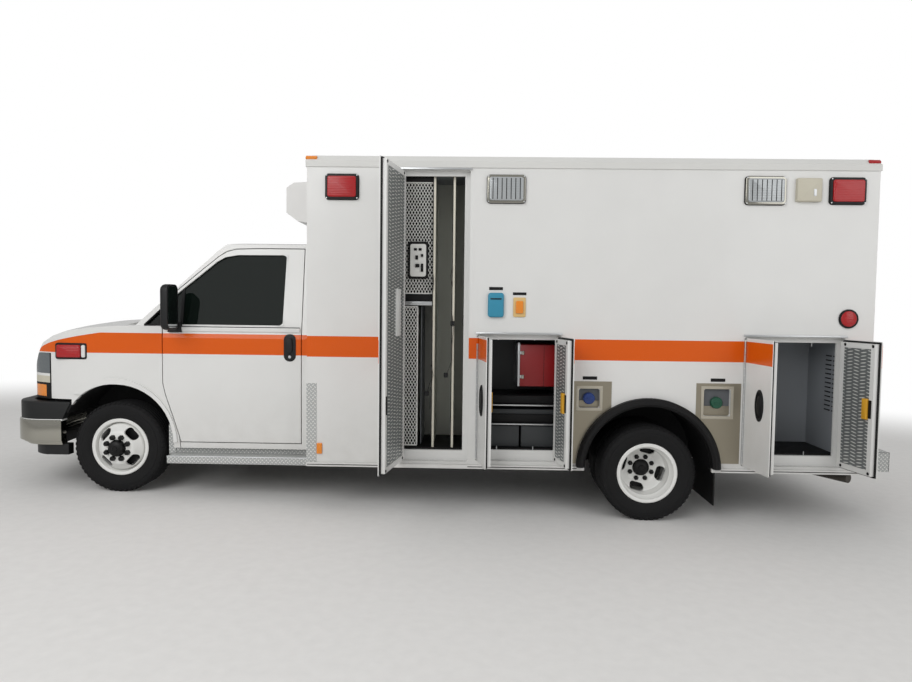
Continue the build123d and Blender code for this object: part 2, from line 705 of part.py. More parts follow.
# Floor with sills on the frame, open at the compartments, wheelhouses and step well
FLOOR_LOW_Z = FLOOR_TOP_Z - FLOOR_THICKNESS
WELL_INNER_Y = INNER_HALF - STEP_WELL_DEPTH
with BuildPart() as module_floor:
    span(
        (MODULE_FRONT_X + WALL, -INNER_HALF, FLOOR_LOW_Z),
        (MODULE_REAR_X - WALL, INNER_HALF, FLOOR_TOP_Z),
    )
    for side in (-1, 1):
        sill = sorted((side * RAIL_OUTER_Y, side * (RAIL_OUTER_Y - SILL_WIDTH)))
        span((RAIL_RISE_X[1], sill[0], RAIL_TOP_Z), (RAIL_REAR_X, sill[1], FLOOR_LOW_Z))
        house = sorted((side * (INNER_HALF + 1), side * WHEELHOUSE_INNER_Y))
        with BuildSketch(side_plane(house[1])):
            with Locations((WHEEL_CENTRE_X, WHEEL_OPENING_Z)):
                Circle(WHEEL_OPENING_RADIUS + WHEELHOUSE_WALL)
        extrude(amount=house[1] - house[0], mode=Mode.SUBTRACT)
    span(
        (ENTRY[0], WELL_INNER_Y, FLOOR_LOW_Z - 1),
        (ENTRY[1], INNER_HALF + 1, FLOOR_TOP_Z + 1),
        mode=Mode.SUBTRACT,
    )
    for side, bays in ((-1, STREET_BAYS.values()), (1, [CURB_BAY])):
        for x0, x1, z0, z1, depth in bays:
            notch = sorted((side * (INNER_HALF + 1), side * (INNER_HALF - depth)))
            span(
                (x0 - LINER_WALL, notch[0], z0 - LINER_WALL),
                (x1 + LINER_WALL, notch[1], z1 + LINER_WALL),
                mode=Mode.SUBTRACT,
            )
pieces["module_floor"] = module_floor.part

# Wheelhouses: half drums over the rear wheels, closed on the inside but for the axle
AXLE_NOTCH_HALF = 150.0
AXLE_NOTCH_TOP_Z = 570.0
with BuildPart() as wheelhouse_left:
    with BuildSketch(side_plane(-WHEELHOUSE_INNER_Y)):
        with Locations((WHEEL_CENTRE_X, WHEEL_OPENING_Z)):
            Circle(WHEEL_OPENING_RADIUS + WHEELHOUSE_WALL)
        with Locations((WHEEL_CENTRE_X, WHEEL_OPENING_Z - 250)):
            Rectangle(1200, 500, mode=Mode.SUBTRACT)
    extrude(amount=INNER_HALF - WHEELHOUSE_INNER_Y)
    with BuildSketch(side_plane(-WHEELHOUSE_INNER_Y - WHEELHOUSE_WALL)):
        with Locations((WHEEL_CENTRE_X, WHEEL_OPENING_Z)):
            Circle(WHEEL_OPENING_RADIUS)
    extrude(amount=INNER_HALF - WHEELHOUSE_INNER_Y, mode=Mode.SUBTRACT)
    span(
        (REAR_AXLE_X - AXLE_NOTCH_HALF, -WHEELHOUSE_INNER_Y - WHEELHOUSE_WALL - 1, WHEEL_OPENING_Z - 1),
        (REAR_AXLE_X + AXLE_NOTCH_HALF, -WHEELHOUSE_INNER_Y + 1, AXLE_NOTCH_TOP_Z),
        mode=Mode.SUBTRACT,
    )
pieces["wheelhouses"] = Compound(
    children=[wheelhouse_left.part, wheelhouse_left.part.mirror(Plane.XZ)]
)

with BuildPart() as entry_step:
    span(
        (ENTRY[0] - LINER_WALL, WELL_INNER_Y - LINER_WALL, ENTRY[2] - LINER_WALL),
        (ENTRY[1] + LINER_WALL, INNER_HALF, FLOOR_LOW_Z),
    )
    span(
        (ENTRY[0], WELL_INNER_Y, ENTRY[2]),
        (ENTRY[1], INNER_HALF + 1, FLOOR_LOW_Z + 1),
        mode=Mode.SUBTRACT,
    )
pieces["entry_step"] = entry_step.part


# Door leaves of the module, closed, in the body frame
HINGE_Y = -(MODULE_HALF + HINGE_OUT)
BARREL_END = 12.0


def leaf(x0, x1, z0, z1, hinge_x, window=None):
    """Street side door leaf: skin, smaller pan, sunk inner panel and a piano hinge's barrel."""
    outer = -MODULE_HALF
    middle = ((x0 + x1) / 2, (z0 + z1) / 2)
    with BuildPart() as door:
        with BuildSketch(side_plane(outer + SKIN_THICKNESS)):
            with Locations(middle):
                RectangleRounded(x1 - x0, z1 - z0, 10)
        extrude(amount=SKIN_THICKNESS)
        with BuildSketch(side_plane(outer + LEAF_THICKNESS)):
            with Locations(middle):
                Rectangle(x1 - x0 - 2 * PAN_INSET, z1 - z0 - 2 * PAN_INSET)
        extrude(amount=LEAF_THICKNESS - SKIN_THICKNESS)
        if window is None:
            with BuildSketch(side_plane(outer + LEAF_THICKNESS)):
                with Locations(middle):
                    Rectangle(x1 - x0 - 2 * PANEL_INSET, z1 - z0 - 2 * PANEL_INSET)
            extrude(amount=PANEL_DEPTH, mode=Mode.SUBTRACT)
        else:
            with BuildSketch(side_plane(outer + LEAF_THICKNESS + 1)):
                with Locations(((window[0] + window[1]) / 2, (window[2] + window[3]) / 2)):
                    RectangleRounded(window[1] - window[0], window[3] - window[2], 40)
            extrude(amount=LEAF_THICKNESS + 2, mode=Mode.SUBTRACT)
        with BuildSketch(Plane.XY.offset(z0 + BARREL_END)):
            with Locations((hinge_x, HINGE_Y)):
                Circle(BARREL_RADIUS)
        extrude(amount=z1 - z0 - 2 * BARREL_END)
    return door.part


def pane(window):
    """Glass that fills the middle of a leaf's window."""
    with BuildPart() as glass:
        with BuildSketch(side_plane(-MODULE_HALF + SKIN_THICKNESS + GLASS)):
            with Locations(((window[0] + window[1]) / 2, (window[2] + window[3]) / 2)):
                RectangleRounded(window[1] - window[0], window[3] - window[2], 40)
        extrude(amount=GLASS)
    return glass.part


hinges = {}
tall_x0, tall_x1, tall_z0, tall_z1, _ = STREET_BAYS["tall"]
mid_x0, mid_x1, mid_z0, mid_z1, _ = STREET_BAYS["mid"]
bay_x0, bay_x1, bay_z0, bay_z1, _ = STREET_BAYS["rear"]
mid_split = (mid_x0 + mid_x1) / 2
bay_split = (bay_x0 + bay_x1) / 2
half_gap = LEAF_MEETING_GAP / 2
# name: front x, rear x, low z, high z, hinge x, turn when opening
street_leaves = {
    "tall_door": (tall_x0, tall_x1, tall_z0, tall_z1, tall_x0, -1),
    "mid_door_front": (mid_x0, mid_split - half_gap, mid_z0, mid_z1, mid_x0, -1),
    "mid_door_rear": (mid_split + half_gap, mid_x1, mid_z0, mid_z1, mid_x1, 1),
    "bay_door_front": (bay_x0, bay_split - half_gap, bay_z0, bay_z1, bay_x0, -1),
    "bay_door_rear": (bay_split + half_gap, bay_x1, bay_z0, bay_z1, bay_x1, 1),
}
for label, (x0, x1, z0, z1, hinge_x, turn) in street_leaves.items():
    axis = Axis((hinge_x, HINGE_Y, 0), (0, 0, 1))
    pieces[label] = leaf(x0, x1, z0, z1, hinge_x).rotate(axis, turn * OPEN_ANGLE[label])
    hinges[label] = (hinge_x, HINGE_Y, (z0 + z1) / 2)

curb_leaf = leaf(*CURB_BAY[:4], CURB_BAY[0])
pieces["curb_bay_door"] = curb_leaf.mirror(Plane.XZ)
hinges["curb_bay_door"] = (CURB_BAY[0], -HINGE_Y, (CURB_BAY[2] + CURB_BAY[3]) / 2)

ENTRY_WINDOW = (ENTRY[0] + 180, ENTRY[1] - 180, 1520.0, ENTRY[3] - 220)
pieces["entry_door"] = leaf(*ENTRY, ENTRY[0], window=ENTRY_WINDOW).mirror(Plane.XZ)
pieces["entry_glass"] = pane(ENTRY_WINDOW).mirror(Plane.XZ)
hinges["entry_door"] = (ENTRY[0], -HINGE_Y, (ENTRY[2] + ENTRY[3]) / 2)

# Rear doors: the same leaf, turned to face the rear
REAR_WINDOW_MARGIN = 120.0
rear_span = (0.0, REAR_DOORWAY_HALF - half_gap)
rear_window = (
    rear_span[0] + REAR_WINDOW_MARGIN,
    rear_span[1] - REAR_WINDOW_MARGIN,
    1560.0,
    REAR_DOORWAY_TOP_Z - 160,
)
rear_turn = Location((MODULE_REAR_X - MODULE_HALF, half_gap, 0), (0, 0, 90))
rear_leaf = leaf(*rear_span, FLOOR_TOP_Z, REAR_DOORWAY_TOP_Z, rear_span[1], window=rear_window)
rear_pane = pane(rear_window)
pieces["rear_door_right"] = rear_leaf.moved(rear_turn)
pieces["rear_glass_right"] = rear_pane.moved(rear_turn)
pieces["rear_door_left"] = pieces["rear_door_right"].mirror(Plane.XZ)
pieces["rear_glass_left"] = pieces["rear_glass_right"].mirror(Plane.XZ)
rear_mid_z = (FLOOR_TOP_Z + REAR_DOORWAY_TOP_Z) / 2
hinges["rear_door_left"] = (MODULE_REAR_X + HINGE_OUT, -REAR_DOORWAY_HALF, rear_mid_z)
hinges["rear_door_right"] = (MODULE_REAR_X + HINGE_OUT, REAR_DOORWAY_HALF, rear_mid_z)

# Rubber flares round the rear wheel openings, with a mud flap behind each
FLAP_X = REAR_AXLE_X + 480.0
with BuildPart() as flare_left:
    with BuildSketch(side_plane(-MODULE_HALF)):
        with Locations((WHEEL_CENTRE_X, WHEEL_OPENING_Z)):
            Circle(WHEEL_OPENING_RADIUS + FLARE_BAND)
            Circle(WHEEL_OPENING_RADIUS, mode=Mode.SUBTRACT)
        with Locations((WHEEL_CENTRE_X, RUB_RAIL_HIGH_Z - 400)):
            Rectangle(1300, 800, mode=Mode.SUBTRACT)
    extrude(amount=FLARE_PROUD)
    chamfer(flare_left.faces().sort_by(Axis.Y)[0].edges().filter_by(GeomType.CIRCLE), length=18)
with BuildPart() as flap_left:
    span((FLAP_X, -MODULE_HALF + 6, 125), (FLAP_X + 10, -WHEELHOUSE_INNER_Y - 40, SKIRT_Z - 2))
flares = [flare_left.part, flap_left.part]
pieces["wheel_flares"] = Compound(children=flares + [piece.mirror(Plane.XZ) for piece in flares])

# Steps: a tread plate board under each cab door and a step across the rear
BOARD_FRONT_X = 380.0
BOARD_REAR_X = MODULE_FRONT_X - 28.0
BOARD_OUTER_Y = CAB_HALF + 170.0
BOARD_TOP_Z = 388.0
REAR_STEP_HALF = MODULE_HALF - 459.0
with BuildPart() as board_left:
    with BuildSketch(cross_plane(BOARD_FRONT_X)):
        outline(
            [
                (-BOARD_OUTER_Y, BOARD_TOP_Z),
                (-BOARD_OUTER_Y, BOARD_TOP_Z - 50),
                (-CAB_HALF + 70, BOARD_TOP_Z - 50),
                (-CAB_HALF + 70, CAB_SILL_Z - 2),
                (-CAB_HALF + 40, CAB_SILL_Z - 2),
                (-CAB_HALF + 30, BOARD_TOP_Z),
            ]
        )
    extrude(amount=BOARD_REAR_X - BOARD_FRONT_X)
    with BuildSketch(side_plane(-CAB_HALF + 50)):
        outline(
            [
                (BOARD_FRONT_X, BOARD_TOP_Z),
                (BOARD_FRONT_X, 615),
                (BOARD_FRONT_X + 32, 645),
                (BOARD_FRONT_X + 56, 560),
                (BOARD_FRONT_X + 56, BOARD_TOP_Z),
            ]
        )
    extrude(amount=8)
with BuildPart() as rear_step:
    with BuildSketch(side_plane(REAR_STEP_HALF)):
        outline(
            [
                (MODULE_REAR_X, 530),
                (MODULE_REAR_X + 215, 530),
                (MODULE_REAR_X + 225, 520),
                (MODULE_REAR_X + 225, 400),
                (MODULE_REAR_X + 195, 400),
                (MODULE_REAR_X + 195, 490),
                (MODULE_REAR_X, 490),
            ]
        )
    extrude(amount=2 * REAR_STEP_HALF)
steps = [board_left.part, board_left.part.mirror(Plane.XZ), rear_step.part]
pieces["steps"] = Compound(children=steps)

# Cab: one shell from a side outline crossed with a section, then split at its panels
slope = atan2(WINDSHIELD_HEAD[1] - WINDSHIELD_FOOT[1], WINDSHIELD_HEAD[0] - WINDSHIELD_FOOT[0])


def cab_section(inset, mode=Mode.ADD):
    """Cross section of the cab with leaning window frames and a crowned roof."""
    half = CAB_HALF - inset
    lean = CAB_ROOF_HALF - inset
    low = CAB_SILL_Z + inset
    with BuildLine() as line:
        Polyline(
            (-lean, CAB_ROOF_EDGE_Z - inset / 2),
            (-half + 15, BELT_Z),
            (-half, CAB_SHOULDER_Z),
            (-half, low),
            (half, low),
            (half, CAB_SHOULDER_Z),
            (half - 15, BELT_Z),
            (lean, CAB_ROOF_EDGE_Z - inset / 2),
        )
        ThreePointArc(
            (lean, CAB_ROOF_EDGE_Z - inset / 2),
            (0, CAB_ROOF_Z - inset),
            (-lean, CAB_ROOF_EDGE_Z - inset / 2),
        )
    make_face(line.edges(), mode=mode)


def cab_side(inset, rear):
    """Side outline of the cab from the toe board to the back edge."""
    foot_x, foot_z = WINDSHIELD_FOOT
    head_x, head_z = WINDSHIELD_HEAD
    shift = inset / sin(slope)
    with BuildLine() as line:
        Polyline(
            (head_x + shift * 0.8, head_z - inset * 0.2),
            (foot_x + shift, foot_z),
            (foot_x + inset, foot_z - 60),
            (440 + inset, 1000),
            (440 + inset, CAB_SILL_Z - 1 if inset == 0 else CAB_FLOOR_Z),
            (rear, CAB_SILL_Z - 1 if inset == 0 else CAB_FLOOR_Z),
            (rear, CAB_ROOF_Z + 1 - inset),
            (1000, CAB_ROOF_Z - 8 - inset),
        )
        ThreePointArc(
            (1000, CAB_ROOF_Z - 8 - inset),
            (850, CAB_ROOF_Z - 44 - inset),
            (head_x + shift * 0.8, head_z - inset * 0.2),
        )
    make_face(line.edges())


with BuildPart() as cab_outer:
    with BuildSketch(cross_plane(0)):
        cab_section(0)
    extrude(amount=MODULE_FRONT_X)
    with BuildSketch(side_plane(CAB_HALF + 1)):
        cab_side(0, MODULE_FRONT_X)
    extrude(amount=2 * CAB_HALF + 2, mode=Mode.INTERSECT)

with BuildPart() as cab_cavity:
    with BuildSketch(cross_plane(0)):
        cab_section(CAB_WALL)
    extrude(amount=MODULE_FRONT_X + 10)
    with BuildSketch(side_plane(CAB_HALF + 1)):
        cab_side(CAB_WALL, MODULE_FRONT_X + 10)
    extrude(amount=2 * CAB_HALF + 2, mode=Mode.INTERSECT)

# Ring of the cab's side walls and roof, without the windshield's frame
with BuildPart() as cab_ring:
    with BuildSketch(cross_plane(0)):
        cab_section(0)
        cab_section(CAB_WALL, mode=Mode.SUBTRACT)
    extrude(amount=MODULE_FRONT_X)

# Front edge of the door below the belt, from the top down
DOOR_FRONT_EDGE = [(DOOR_FRONT_X, 950), (373, 860), (426, 702), (479, 540), (492, DOOR_LOW_Z)]
DOOR_OUTLINE = [(DOOR_FRONT_X, 1575)] + DOOR_FRONT_EDGE + [
    (DOOR_REAR_X, DOOR_LOW_Z),
    (DOOR_REAR_X, DOOR_TOP_Z),
    (1080, DOOR_TOP_Z),
    (892, DOOR_TOP_Z - 6),
    (820, 1976),
    (756, 1934),
    (611, 1811),
    (473, 1690),
]
WINDOW_OUTLINE = [
    (390, 1402),
    (1325, 1402),
    (1300, 1948),
    (908, 1946),
    (811, 1928),
    (750, 1893),
    (624, 1785),
    (470, 1655),
    (390, 1575),
]
QUARTER_OUTLINE = [(212, 1396), (336, 1396), (336, 1520)]
# Where the fender stands ahead of the door, over the cab's own side
FENDER_ZONE = [(-100, CAB_SILL_Z - 10), (-100, BELT_Z + 2), (DOOR_FRONT_X, BELT_Z + 2)]
FENDER_ZONE += DOOR_FRONT_EDGE + [(NOSE_REAR_X, CAB_SILL_Z - 10)]


def door_prism(points, side, margin=0.0, depth=400.0):
    """Door outline pushed through one side of the cab, to a depth from its side."""
    low, high = sorted((side * (CAB_HALF + 40), side * (CAB_HALF - depth)))
    with BuildPart() as prism:
        with BuildSketch(side_plane(high)):
            outline(points)
            if margin:
                offset(amount=margin, kind=Kind.INTERSECTION)
        extrude(amount=high - low)
    return prism.part


with BuildPart() as cab_core:
    add(cab_outer.part)
    for side in (-1, 1):
        add(door_prism(FENDER_ZONE, side, depth=NOSE_WALL + 8), mode=Mode.SUBTRACT)
    rocker = CAB_HALF - ROCKER_WIDTH
    span(
        (-100, -rocker, CAB_SILL_Z - 10),
        (MODULE_FRONT_X + 1, rocker, CAB_FLOOR_Z - CAB_FLOOR_THICKNESS),
        mode=Mode.SUBTRACT,
    )

doorways = []
for side in (-1, 1):
    with BuildPart() as doorway:
        add(cab_ring.part)
        add(door_prism(DOOR_OUTLINE, side), mode=Mode.INTERSECT)
    doorways.append(doorway.part)

# Windshield in its own plane, across and up the slope
GLASS_LOW_HALF = CAB_HALF - 150.0
GLASS_HIGH_HALF = CAB_ROOF_HALF - 97.0
GLASS_OUTLINE = [
    (-GLASS_LOW_HALF, -340),
    (GLASS_LOW_HALF, -340),
    (GLASS_HIGH_HALF, 345),
    (-GLASS_HIGH_HALF, 345),
]
with BuildPart() as cab_shell:
    add(cab_core.part)
    add(cab_cavity.part, mode=Mode.SUBTRACT)
    for side, doorway in zip((-1, 1), doorways):
        add(doorway, mode=Mode.SUBTRACT)
        add(door_prism(QUARTER_OUTLINE, side, depth=90.0), mode=Mode.SUBTRACT)
    glass_plane = Plane(
        origin=(
            (WINDSHIELD_FOOT[0] + WINDSHIELD_HEAD[0]) / 2,
            0,
            (WINDSHIELD_FOOT[1] + WINDSHIELD_HEAD[1]) / 2,
        ),
        x_dir=(0, -1, 0),
        z_dir=(-sin(slope), 0, cos(slope)),
    )
    with BuildSketch(glass_plane.offset(40)):
        outline(GLASS_OUTLINE)
    extrude(amount=-200, mode=Mode.SUBTRACT)
pieces["cab_shell"] = cab_shell.part

with BuildPart() as cab_door_left:
    add(cab_ring.part)
    add(door_prism(DOOR_OUTLINE, -1, margin=-PANEL_GAP), mode=Mode.INTERSECT)
    add(door_prism(WINDOW_OUTLINE, -1), mode=Mode.SUBTRACT)
pieces["cab_door_left"] = cab_door_left.part
pieces["cab_door_right"] = cab_door_left.part.mirror(Plane.XZ)


def side_glass(points):
    """Street side pane that leans with the cab's side, inside a window's outline."""
    sill = -(CAB_HALF - 15 - 20)
    head = -(CAB_ROOF_HALF - 20)
    with BuildPart() as glass:
        with BuildSketch(cross_plane(0)):
            outline(
                [
                    (sill, BELT_Z),
                    (head, CAB_ROOF_EDGE_Z),
                    (head + GLASS, CAB_ROOF_EDGE_Z),
                    (sill + GLASS, BELT_Z),
                ]
            )
        extrude(amount=MODULE_FRONT_X)
        add(door_prism(points, -1), mode=Mode.INTERSECT)
    return glass.part


pieces["door_glass_left"] = side_glass(WINDOW_OUTLINE)
pieces["door_glass_right"] = pieces["door_glass_left"].mirror(Plane.XZ)

# Windshield with the fixed quarter panes behind its pillars
with BuildPart() as windshield:
    with BuildSketch(glass_plane.offset(-18)):
        outline(GLASS_OUTLINE)
    extrude(amount=GLASS)
quarter_left = side_glass(QUARTER_OUTLINE)
pieces["windshield"] = Compound(
    children=[windshield.part, quarter_left, quarter_left.mirror(Plane.XZ)]
)
CAB_HINGE_X = DOOR_FRONT_X + PANEL_GAP - 2
hinges["cab_door_left"] = (CAB_HINGE_X, -CAB_HALF - 3, 950.0)
hinges["cab_door_right"] = (CAB_HINGE_X, CAB_HALF + 3, 950.0)

# Door mirrors on short arms
MIRROR_X = (437.0, 500.0)
MIRROR_Z = (1366.0, 1706.0)
MIRROR_INNER_Y = CAB_HALF + 42.0
MIRROR_OUTER_Y = CAB_HALF + 235.0
with BuildPart() as mirror_left:
    with BuildSketch(cross_plane(MIRROR_X[0])):
        with Locations((-(MIRROR_INNER_Y + MIRROR_OUTER_Y) / 2, (MIRROR_Z[0] + MIRROR_Z[1]) / 2)):
            RectangleRounded(MIRROR_OUTER_Y - MIRROR_INNER_Y, MIRROR_Z[1] - MIRROR_Z[0], 40)
    extrude(amount=MIRROR_X[1] - MIRROR_X[0])
    chamfer(mirror_left.faces().sort_by(Axis.X)[0].edges(), length=26)
    span((MIRROR_X[0] + 14, -MIRROR_INNER_Y - 30, 1372), (MIRROR_X[1] - 6, -CAB_HALF - 14, 1412))
    span((MIRROR_X[0] - 32, -CAB_HALF - 14, 1345), (MIRROR_X[1] + 10, -CAB_HALF, 1412))
    add(cab_door_left.part, mode=Mode.SUBTRACT)
pieces["mirror_left"] = mirror_left.part
pieces["mirror_right"] = mirror_left.part.mirror(Plane.XZ)

# Nose: one hollow form, then split into hood, fenders, lamps and grille
NOSE_TOP = [(-566, 1227), (-392, 1318), (-204, 1374), (62, 1416)]
HOOD_HALF = CAB_HALF - 200.0
HOOD_FRONT_Z = 1150.0


def nose_plan(inset):
    """Plan of the nose: flat sides that round into a bowed front."""
    half = CAB_HALF - inset
    with BuildLine() as line:
        Polyline((-250, -half), (NOSE_REAR_X + inset, -half), (NOSE_REAR_X + inset, half), (-250, half))
        ThreePointArc((-250, half), (-500 + inset, half - 60), (-600 + inset, half - 240))
        ThreePointArc((-600 + inset, half - 240), (-660 + inset, 0), (-600 + inset, 240 - half))
        ThreePointArc((-600 + inset, 240 - half), (-500 + inset, 60 - half), (-250, -half))
    make_face(line.edges())


def nose_side(inset, low):
    """Side outline of the nose up to the cowl."""
    with BuildLine() as line:
        Polyline(
            (-760, low),
            (NOSE_REAR_X + inset, low),
            (NOSE_REAR_X + inset, BELT_Z - inset),
            (209, BELT_Z - inset),
            (62, 1416 - inset),
            (-204, 1374 - inset),
            (-392, 1318 - inset),
            (-566 + inset / 2, 1227 - inset),
            (-640 + inset, 1150 - inset),
            (-760, 1080 - inset),
            close=True,
        )
    make_face(line.edges())


with BuildPart() as nose_shell:
    with BuildSketch(Plane.XY.offset(CAB_SILL_Z)):
        nose_plan(0)
    extrude(amount=1000)
    with BuildSketch(side_plane(CAB_HALF + 1)):
        nose_side(0, CAB_SILL_Z)
    extrude(amount=2 * CAB_HALF + 2, mode=Mode.INTERSECT)

with BuildPart() as nose_cavity:
    with BuildSketch(Plane.XY.offset(CAB_SILL_Z - 10)):
        nose_plan(NOSE_WALL)
    extrude(amount=1000)
    with BuildSketch(side_plane(CAB_HALF + 1)):
        nose_side(NOSE_WALL, CAB_SILL_Z - 10)
    extrude(amount=2 * CAB_HALF + 2, mode=Mode.INTERSECT)

LAMP_LOW_Z = 805.0
LAMP_HIGH_Z = 1165.0
LAMP_INNER_Y = CAB_HALF - 390.0
LAMP_REAR_X = -531.0
GRILLE_LOW_Z = 830.0
GRILLE_HIGH_Z = 1135.0
GRILLE_HALF = LAMP_INNER_Y - 20.0
FENDER_FRONT_LOW_Z = 812.0
BUMPER_REAR_X = -362.0


def nose_skin():
    """Skin of the nose, in the part that is being built."""
    add(nose_shell.part)
    add(nose_cavity.part, mode=Mode.SUBTRACT)


def hood_block(margin):
    """Region of the nose that the hood covers, grown by a margin."""
    with BuildPart() as block:
        with BuildSketch(side_plane(HOOD_HALF + margin)):
            outline(
                [
                    (-760, HOOD_FRONT_Z + 20 - margin),
                    (-560, HOOD_FRONT_Z + 10 - margin),
                    (62 + margin, 1330 - margin),
                    (62 + margin, 1500),
                    (-760, 1500),
                ]
            )
        extrude(amount=2 * (HOOD_HALF + margin))
    return block.part


def lamp_block(side, margin):
    """Region of the nose that a headlamp group fills, grown by a margin."""
    y0, y1 = sorted((side * (LAMP_INNER_Y - margin), side * (CAB_HALF + 20)))
    with BuildPart() as block:
        span((-760, y0, LAMP_LOW_Z - margin), (LAMP_REAR_X + margin, y1, LAMP_HIGH_Z + margin))
    return block.part


def arch(points):
    """Wheel arch outline down to the sill, in the sketch that is being built."""
    with BuildLine() as line:
        ThreePointArc(*points[:3])
        ThreePointArc(*points[2:])
        Polyline(
            points[4],
            (points[4][0], CAB_SILL_Z - 20),
            (points[0][0], CAB_SILL_Z - 20),
            points[0],
        )
    make_face(line.edges())


with BuildPart() as hood:
    nose_skin()
    add(hood_block(0), mode=Mode.INTERSECT)
pieces["hood"] = hood.part
hinges["hood"] = (62.0, 0.0, 1416.0)

with BuildPart() as front_fenders:
    nose_skin()
    add(hood_block(PANEL_GAP), mode=Mode.SUBTRACT)
    for side in (-1, 1):
        add(lamp_block(side, 3), mode=Mode.SUBTRACT)
    span((-760, -GRILLE_HALF - 3, GRILLE_LOW_Z - 3), (-500, GRILLE_HALF + 3, GRILLE_HIGH_Z + 3), mode=Mode.SUBTRACT)
    span(
        (-760, -CAB_HALF - 10, CAB_SILL_Z - 10),
        (BUMPER_REAR_X + 4, CAB_HALF + 10, FENDER_FRONT_LOW_Z),
        mode=Mode.SUBTRACT,
    )
    add(cab_core.part, mode=Mode.SUBTRACT)
    for side in (-1, 1):
        outer = CAB_HALF + LIP_PROUD if side > 0 else -CAB_HALF + 4
        with BuildSketch(side_plane(outer)):
            arch(ARCH_LIP)
            with Locations((-560, 700)):
                Rectangle(380, 260, mode=Mode.SUBTRACT)
        extrude(amount=LIP_PROUD + 4)
    with BuildSketch(side_plane(CAB_HALF + 20)):
        arch(ARCH_INNER)
    extrude(amount=2 * CAB_HALF + 40, mode=Mode.SUBTRACT)
    for side in (-1, 1):
        add(door_prism(DOOR_OUTLINE, side), mode=Mode.SUBTRACT)
pieces["front_fenders"] = front_fenders.part

with BuildPart() as grille:
    nose_skin()
    span((-760, -GRILLE_HALF, GRILLE_LOW_Z), (-500, GRILLE_HALF, GRILLE_HIGH_Z), mode=Mode.INTERSECT)
    for row in range(5):
        low = GRILLE_LOW_Z + 22 + row * 56
        span((-760, -GRILLE_HALF + 25, low), (-500, GRILLE_HALF - 25, low + 36), mode=Mode.SUBTRACT)
pieces["grille"] = grille.part

headlamps = []
for side in (-1, 1):
    with BuildPart() as headlamp:
        nose_skin()
        add(lamp_block(side, 0), mode=Mode.INTERSECT)
        add(hood_block(3), mode=Mode.SUBTRACT)
    headlamps.append(headlamp.part)


# Front bumper that wraps round the nose
def bumper_plan(inset, rear_x):
    """Plan of the bumper, bowed ahead of the nose and swept back at the ends."""
    half = CAB_HALF + 8 - inset
    with BuildLine() as line:
        Polyline((-560, -half), (rear_x, -half), (rear_x, half), (-560, half))
        ThreePointArc((-560, half), (-668 + inset, half - 108), (-706 + inset, half - 248))
        ThreePointArc((-706 + inset, half - 248), (-770 + inset, 0), (-706 + inset, 248 - half))
        ThreePointArc((-706 + inset, 248 - half), (-668 + inset, 108 - half), (-560, -half))
    make_face(line.edges())


BUMPER_WALL = 46.0
BUMPER_LOW_Z = 456.0
BUMPER_CHROME_Z = 647.0
BUMPER_HIGH_Z = 806.0
VALANCE_LOW_Z = 372.0
BUMPER_TUCK_X = -440.0
# low z, high z, inset of the outline, rear x
BUMPER_TIERS = [
    (VALANCE_LOW_Z, BUMPER_LOW_Z, 26.0, -400.0),
    (BUMPER_LOW_Z, BUMPER_CHROME_Z, 0.0, BUMPER_TUCK_X),
    (BUMPER_CHROME_Z, BUMPER_HIGH_Z, 14.0, BUMPER_REAR_X),
]
with BuildPart() as front_bumper:
    for low, high, inset, rear_x in BUMPER_TIERS:
        with BuildSketch(Plane.XY.offset(low)):
            bumper_plan(inset, rear_x)
        extrude(amount=high - low)
    with BuildSketch(Plane.XY.offset(VALANCE_LOW_Z - 1)):
        bumper_plan(BUMPER_WALL, BUMPER_REAR_X + 20)
    extrude(amount=BUMPER_HIGH_Z - VALANCE_LOW_Z + 2, mode=Mode.SUBTRACT)
    with BuildSketch(side_plane(CAB_HALF + 10)):
        outline(
            [
                (BUMPER_REAR_X, BUMPER_HIGH_Z),
                (BUMPER_TUCK_X, BUMPER_CHROME_Z),
                (BUMPER_REAR_X + 20, BUMPER_CHROME_Z),
                (BUMPER_REAR_X + 20, BUMPER_HIGH_Z),
            ]
        )
    extrude(amount=2 * CAB_HALF + 20, mode=Mode.SUBTRACT)
    for side in (-1, 1):
        stay = sorted((side * RAIL_OUTER_Y, side * RAIL_INNER_Y))
        span((-735, stay[0], BUMPER_LOW_Z + 20), (RAIL_FRONT_X, stay[1], BUMPER_CHROME_Z - 40))
pieces["front_bumper"] = front_bumper.part

# Lamps on the module: warning lamps, scene lamps and markers
LAMP_PROUD = 34.0
# centre x, centre z, width, height
LAMP_ROW_Z = EAVE_Z - 180.0
STREET_LAMPS = [
    (ahead(258), LAMP_ROW_Z, 248, 190),
    (ahead(1448), LAMP_ROW_Z - 7, 284, 208),
    (REAR_AXLE_X + 781, LAMP_ROW_Z - 3, 296, 208),
    (REAR_AXLE_X + 1363, LAMP_ROW_Z - 1, 262, 196),
    (REAR_AXLE_X + 1085, LAMP_ROW_Z + 3, 180, 170),
]
ROUND_LAMP = (REAR_AXLE_X + 1407, 1510.0)
with BuildPart() as side_lamps:
    with BuildSketch(side_plane(-MODULE_HALF)):
        for x, z, width, height in STREET_LAMPS:
            with Locations((x, z)):
                RectangleRounded(width, height, 24)
        with Locations(ROUND_LAMP):
            Circle(69)
    extrude(amount=LAMP_PROUD)
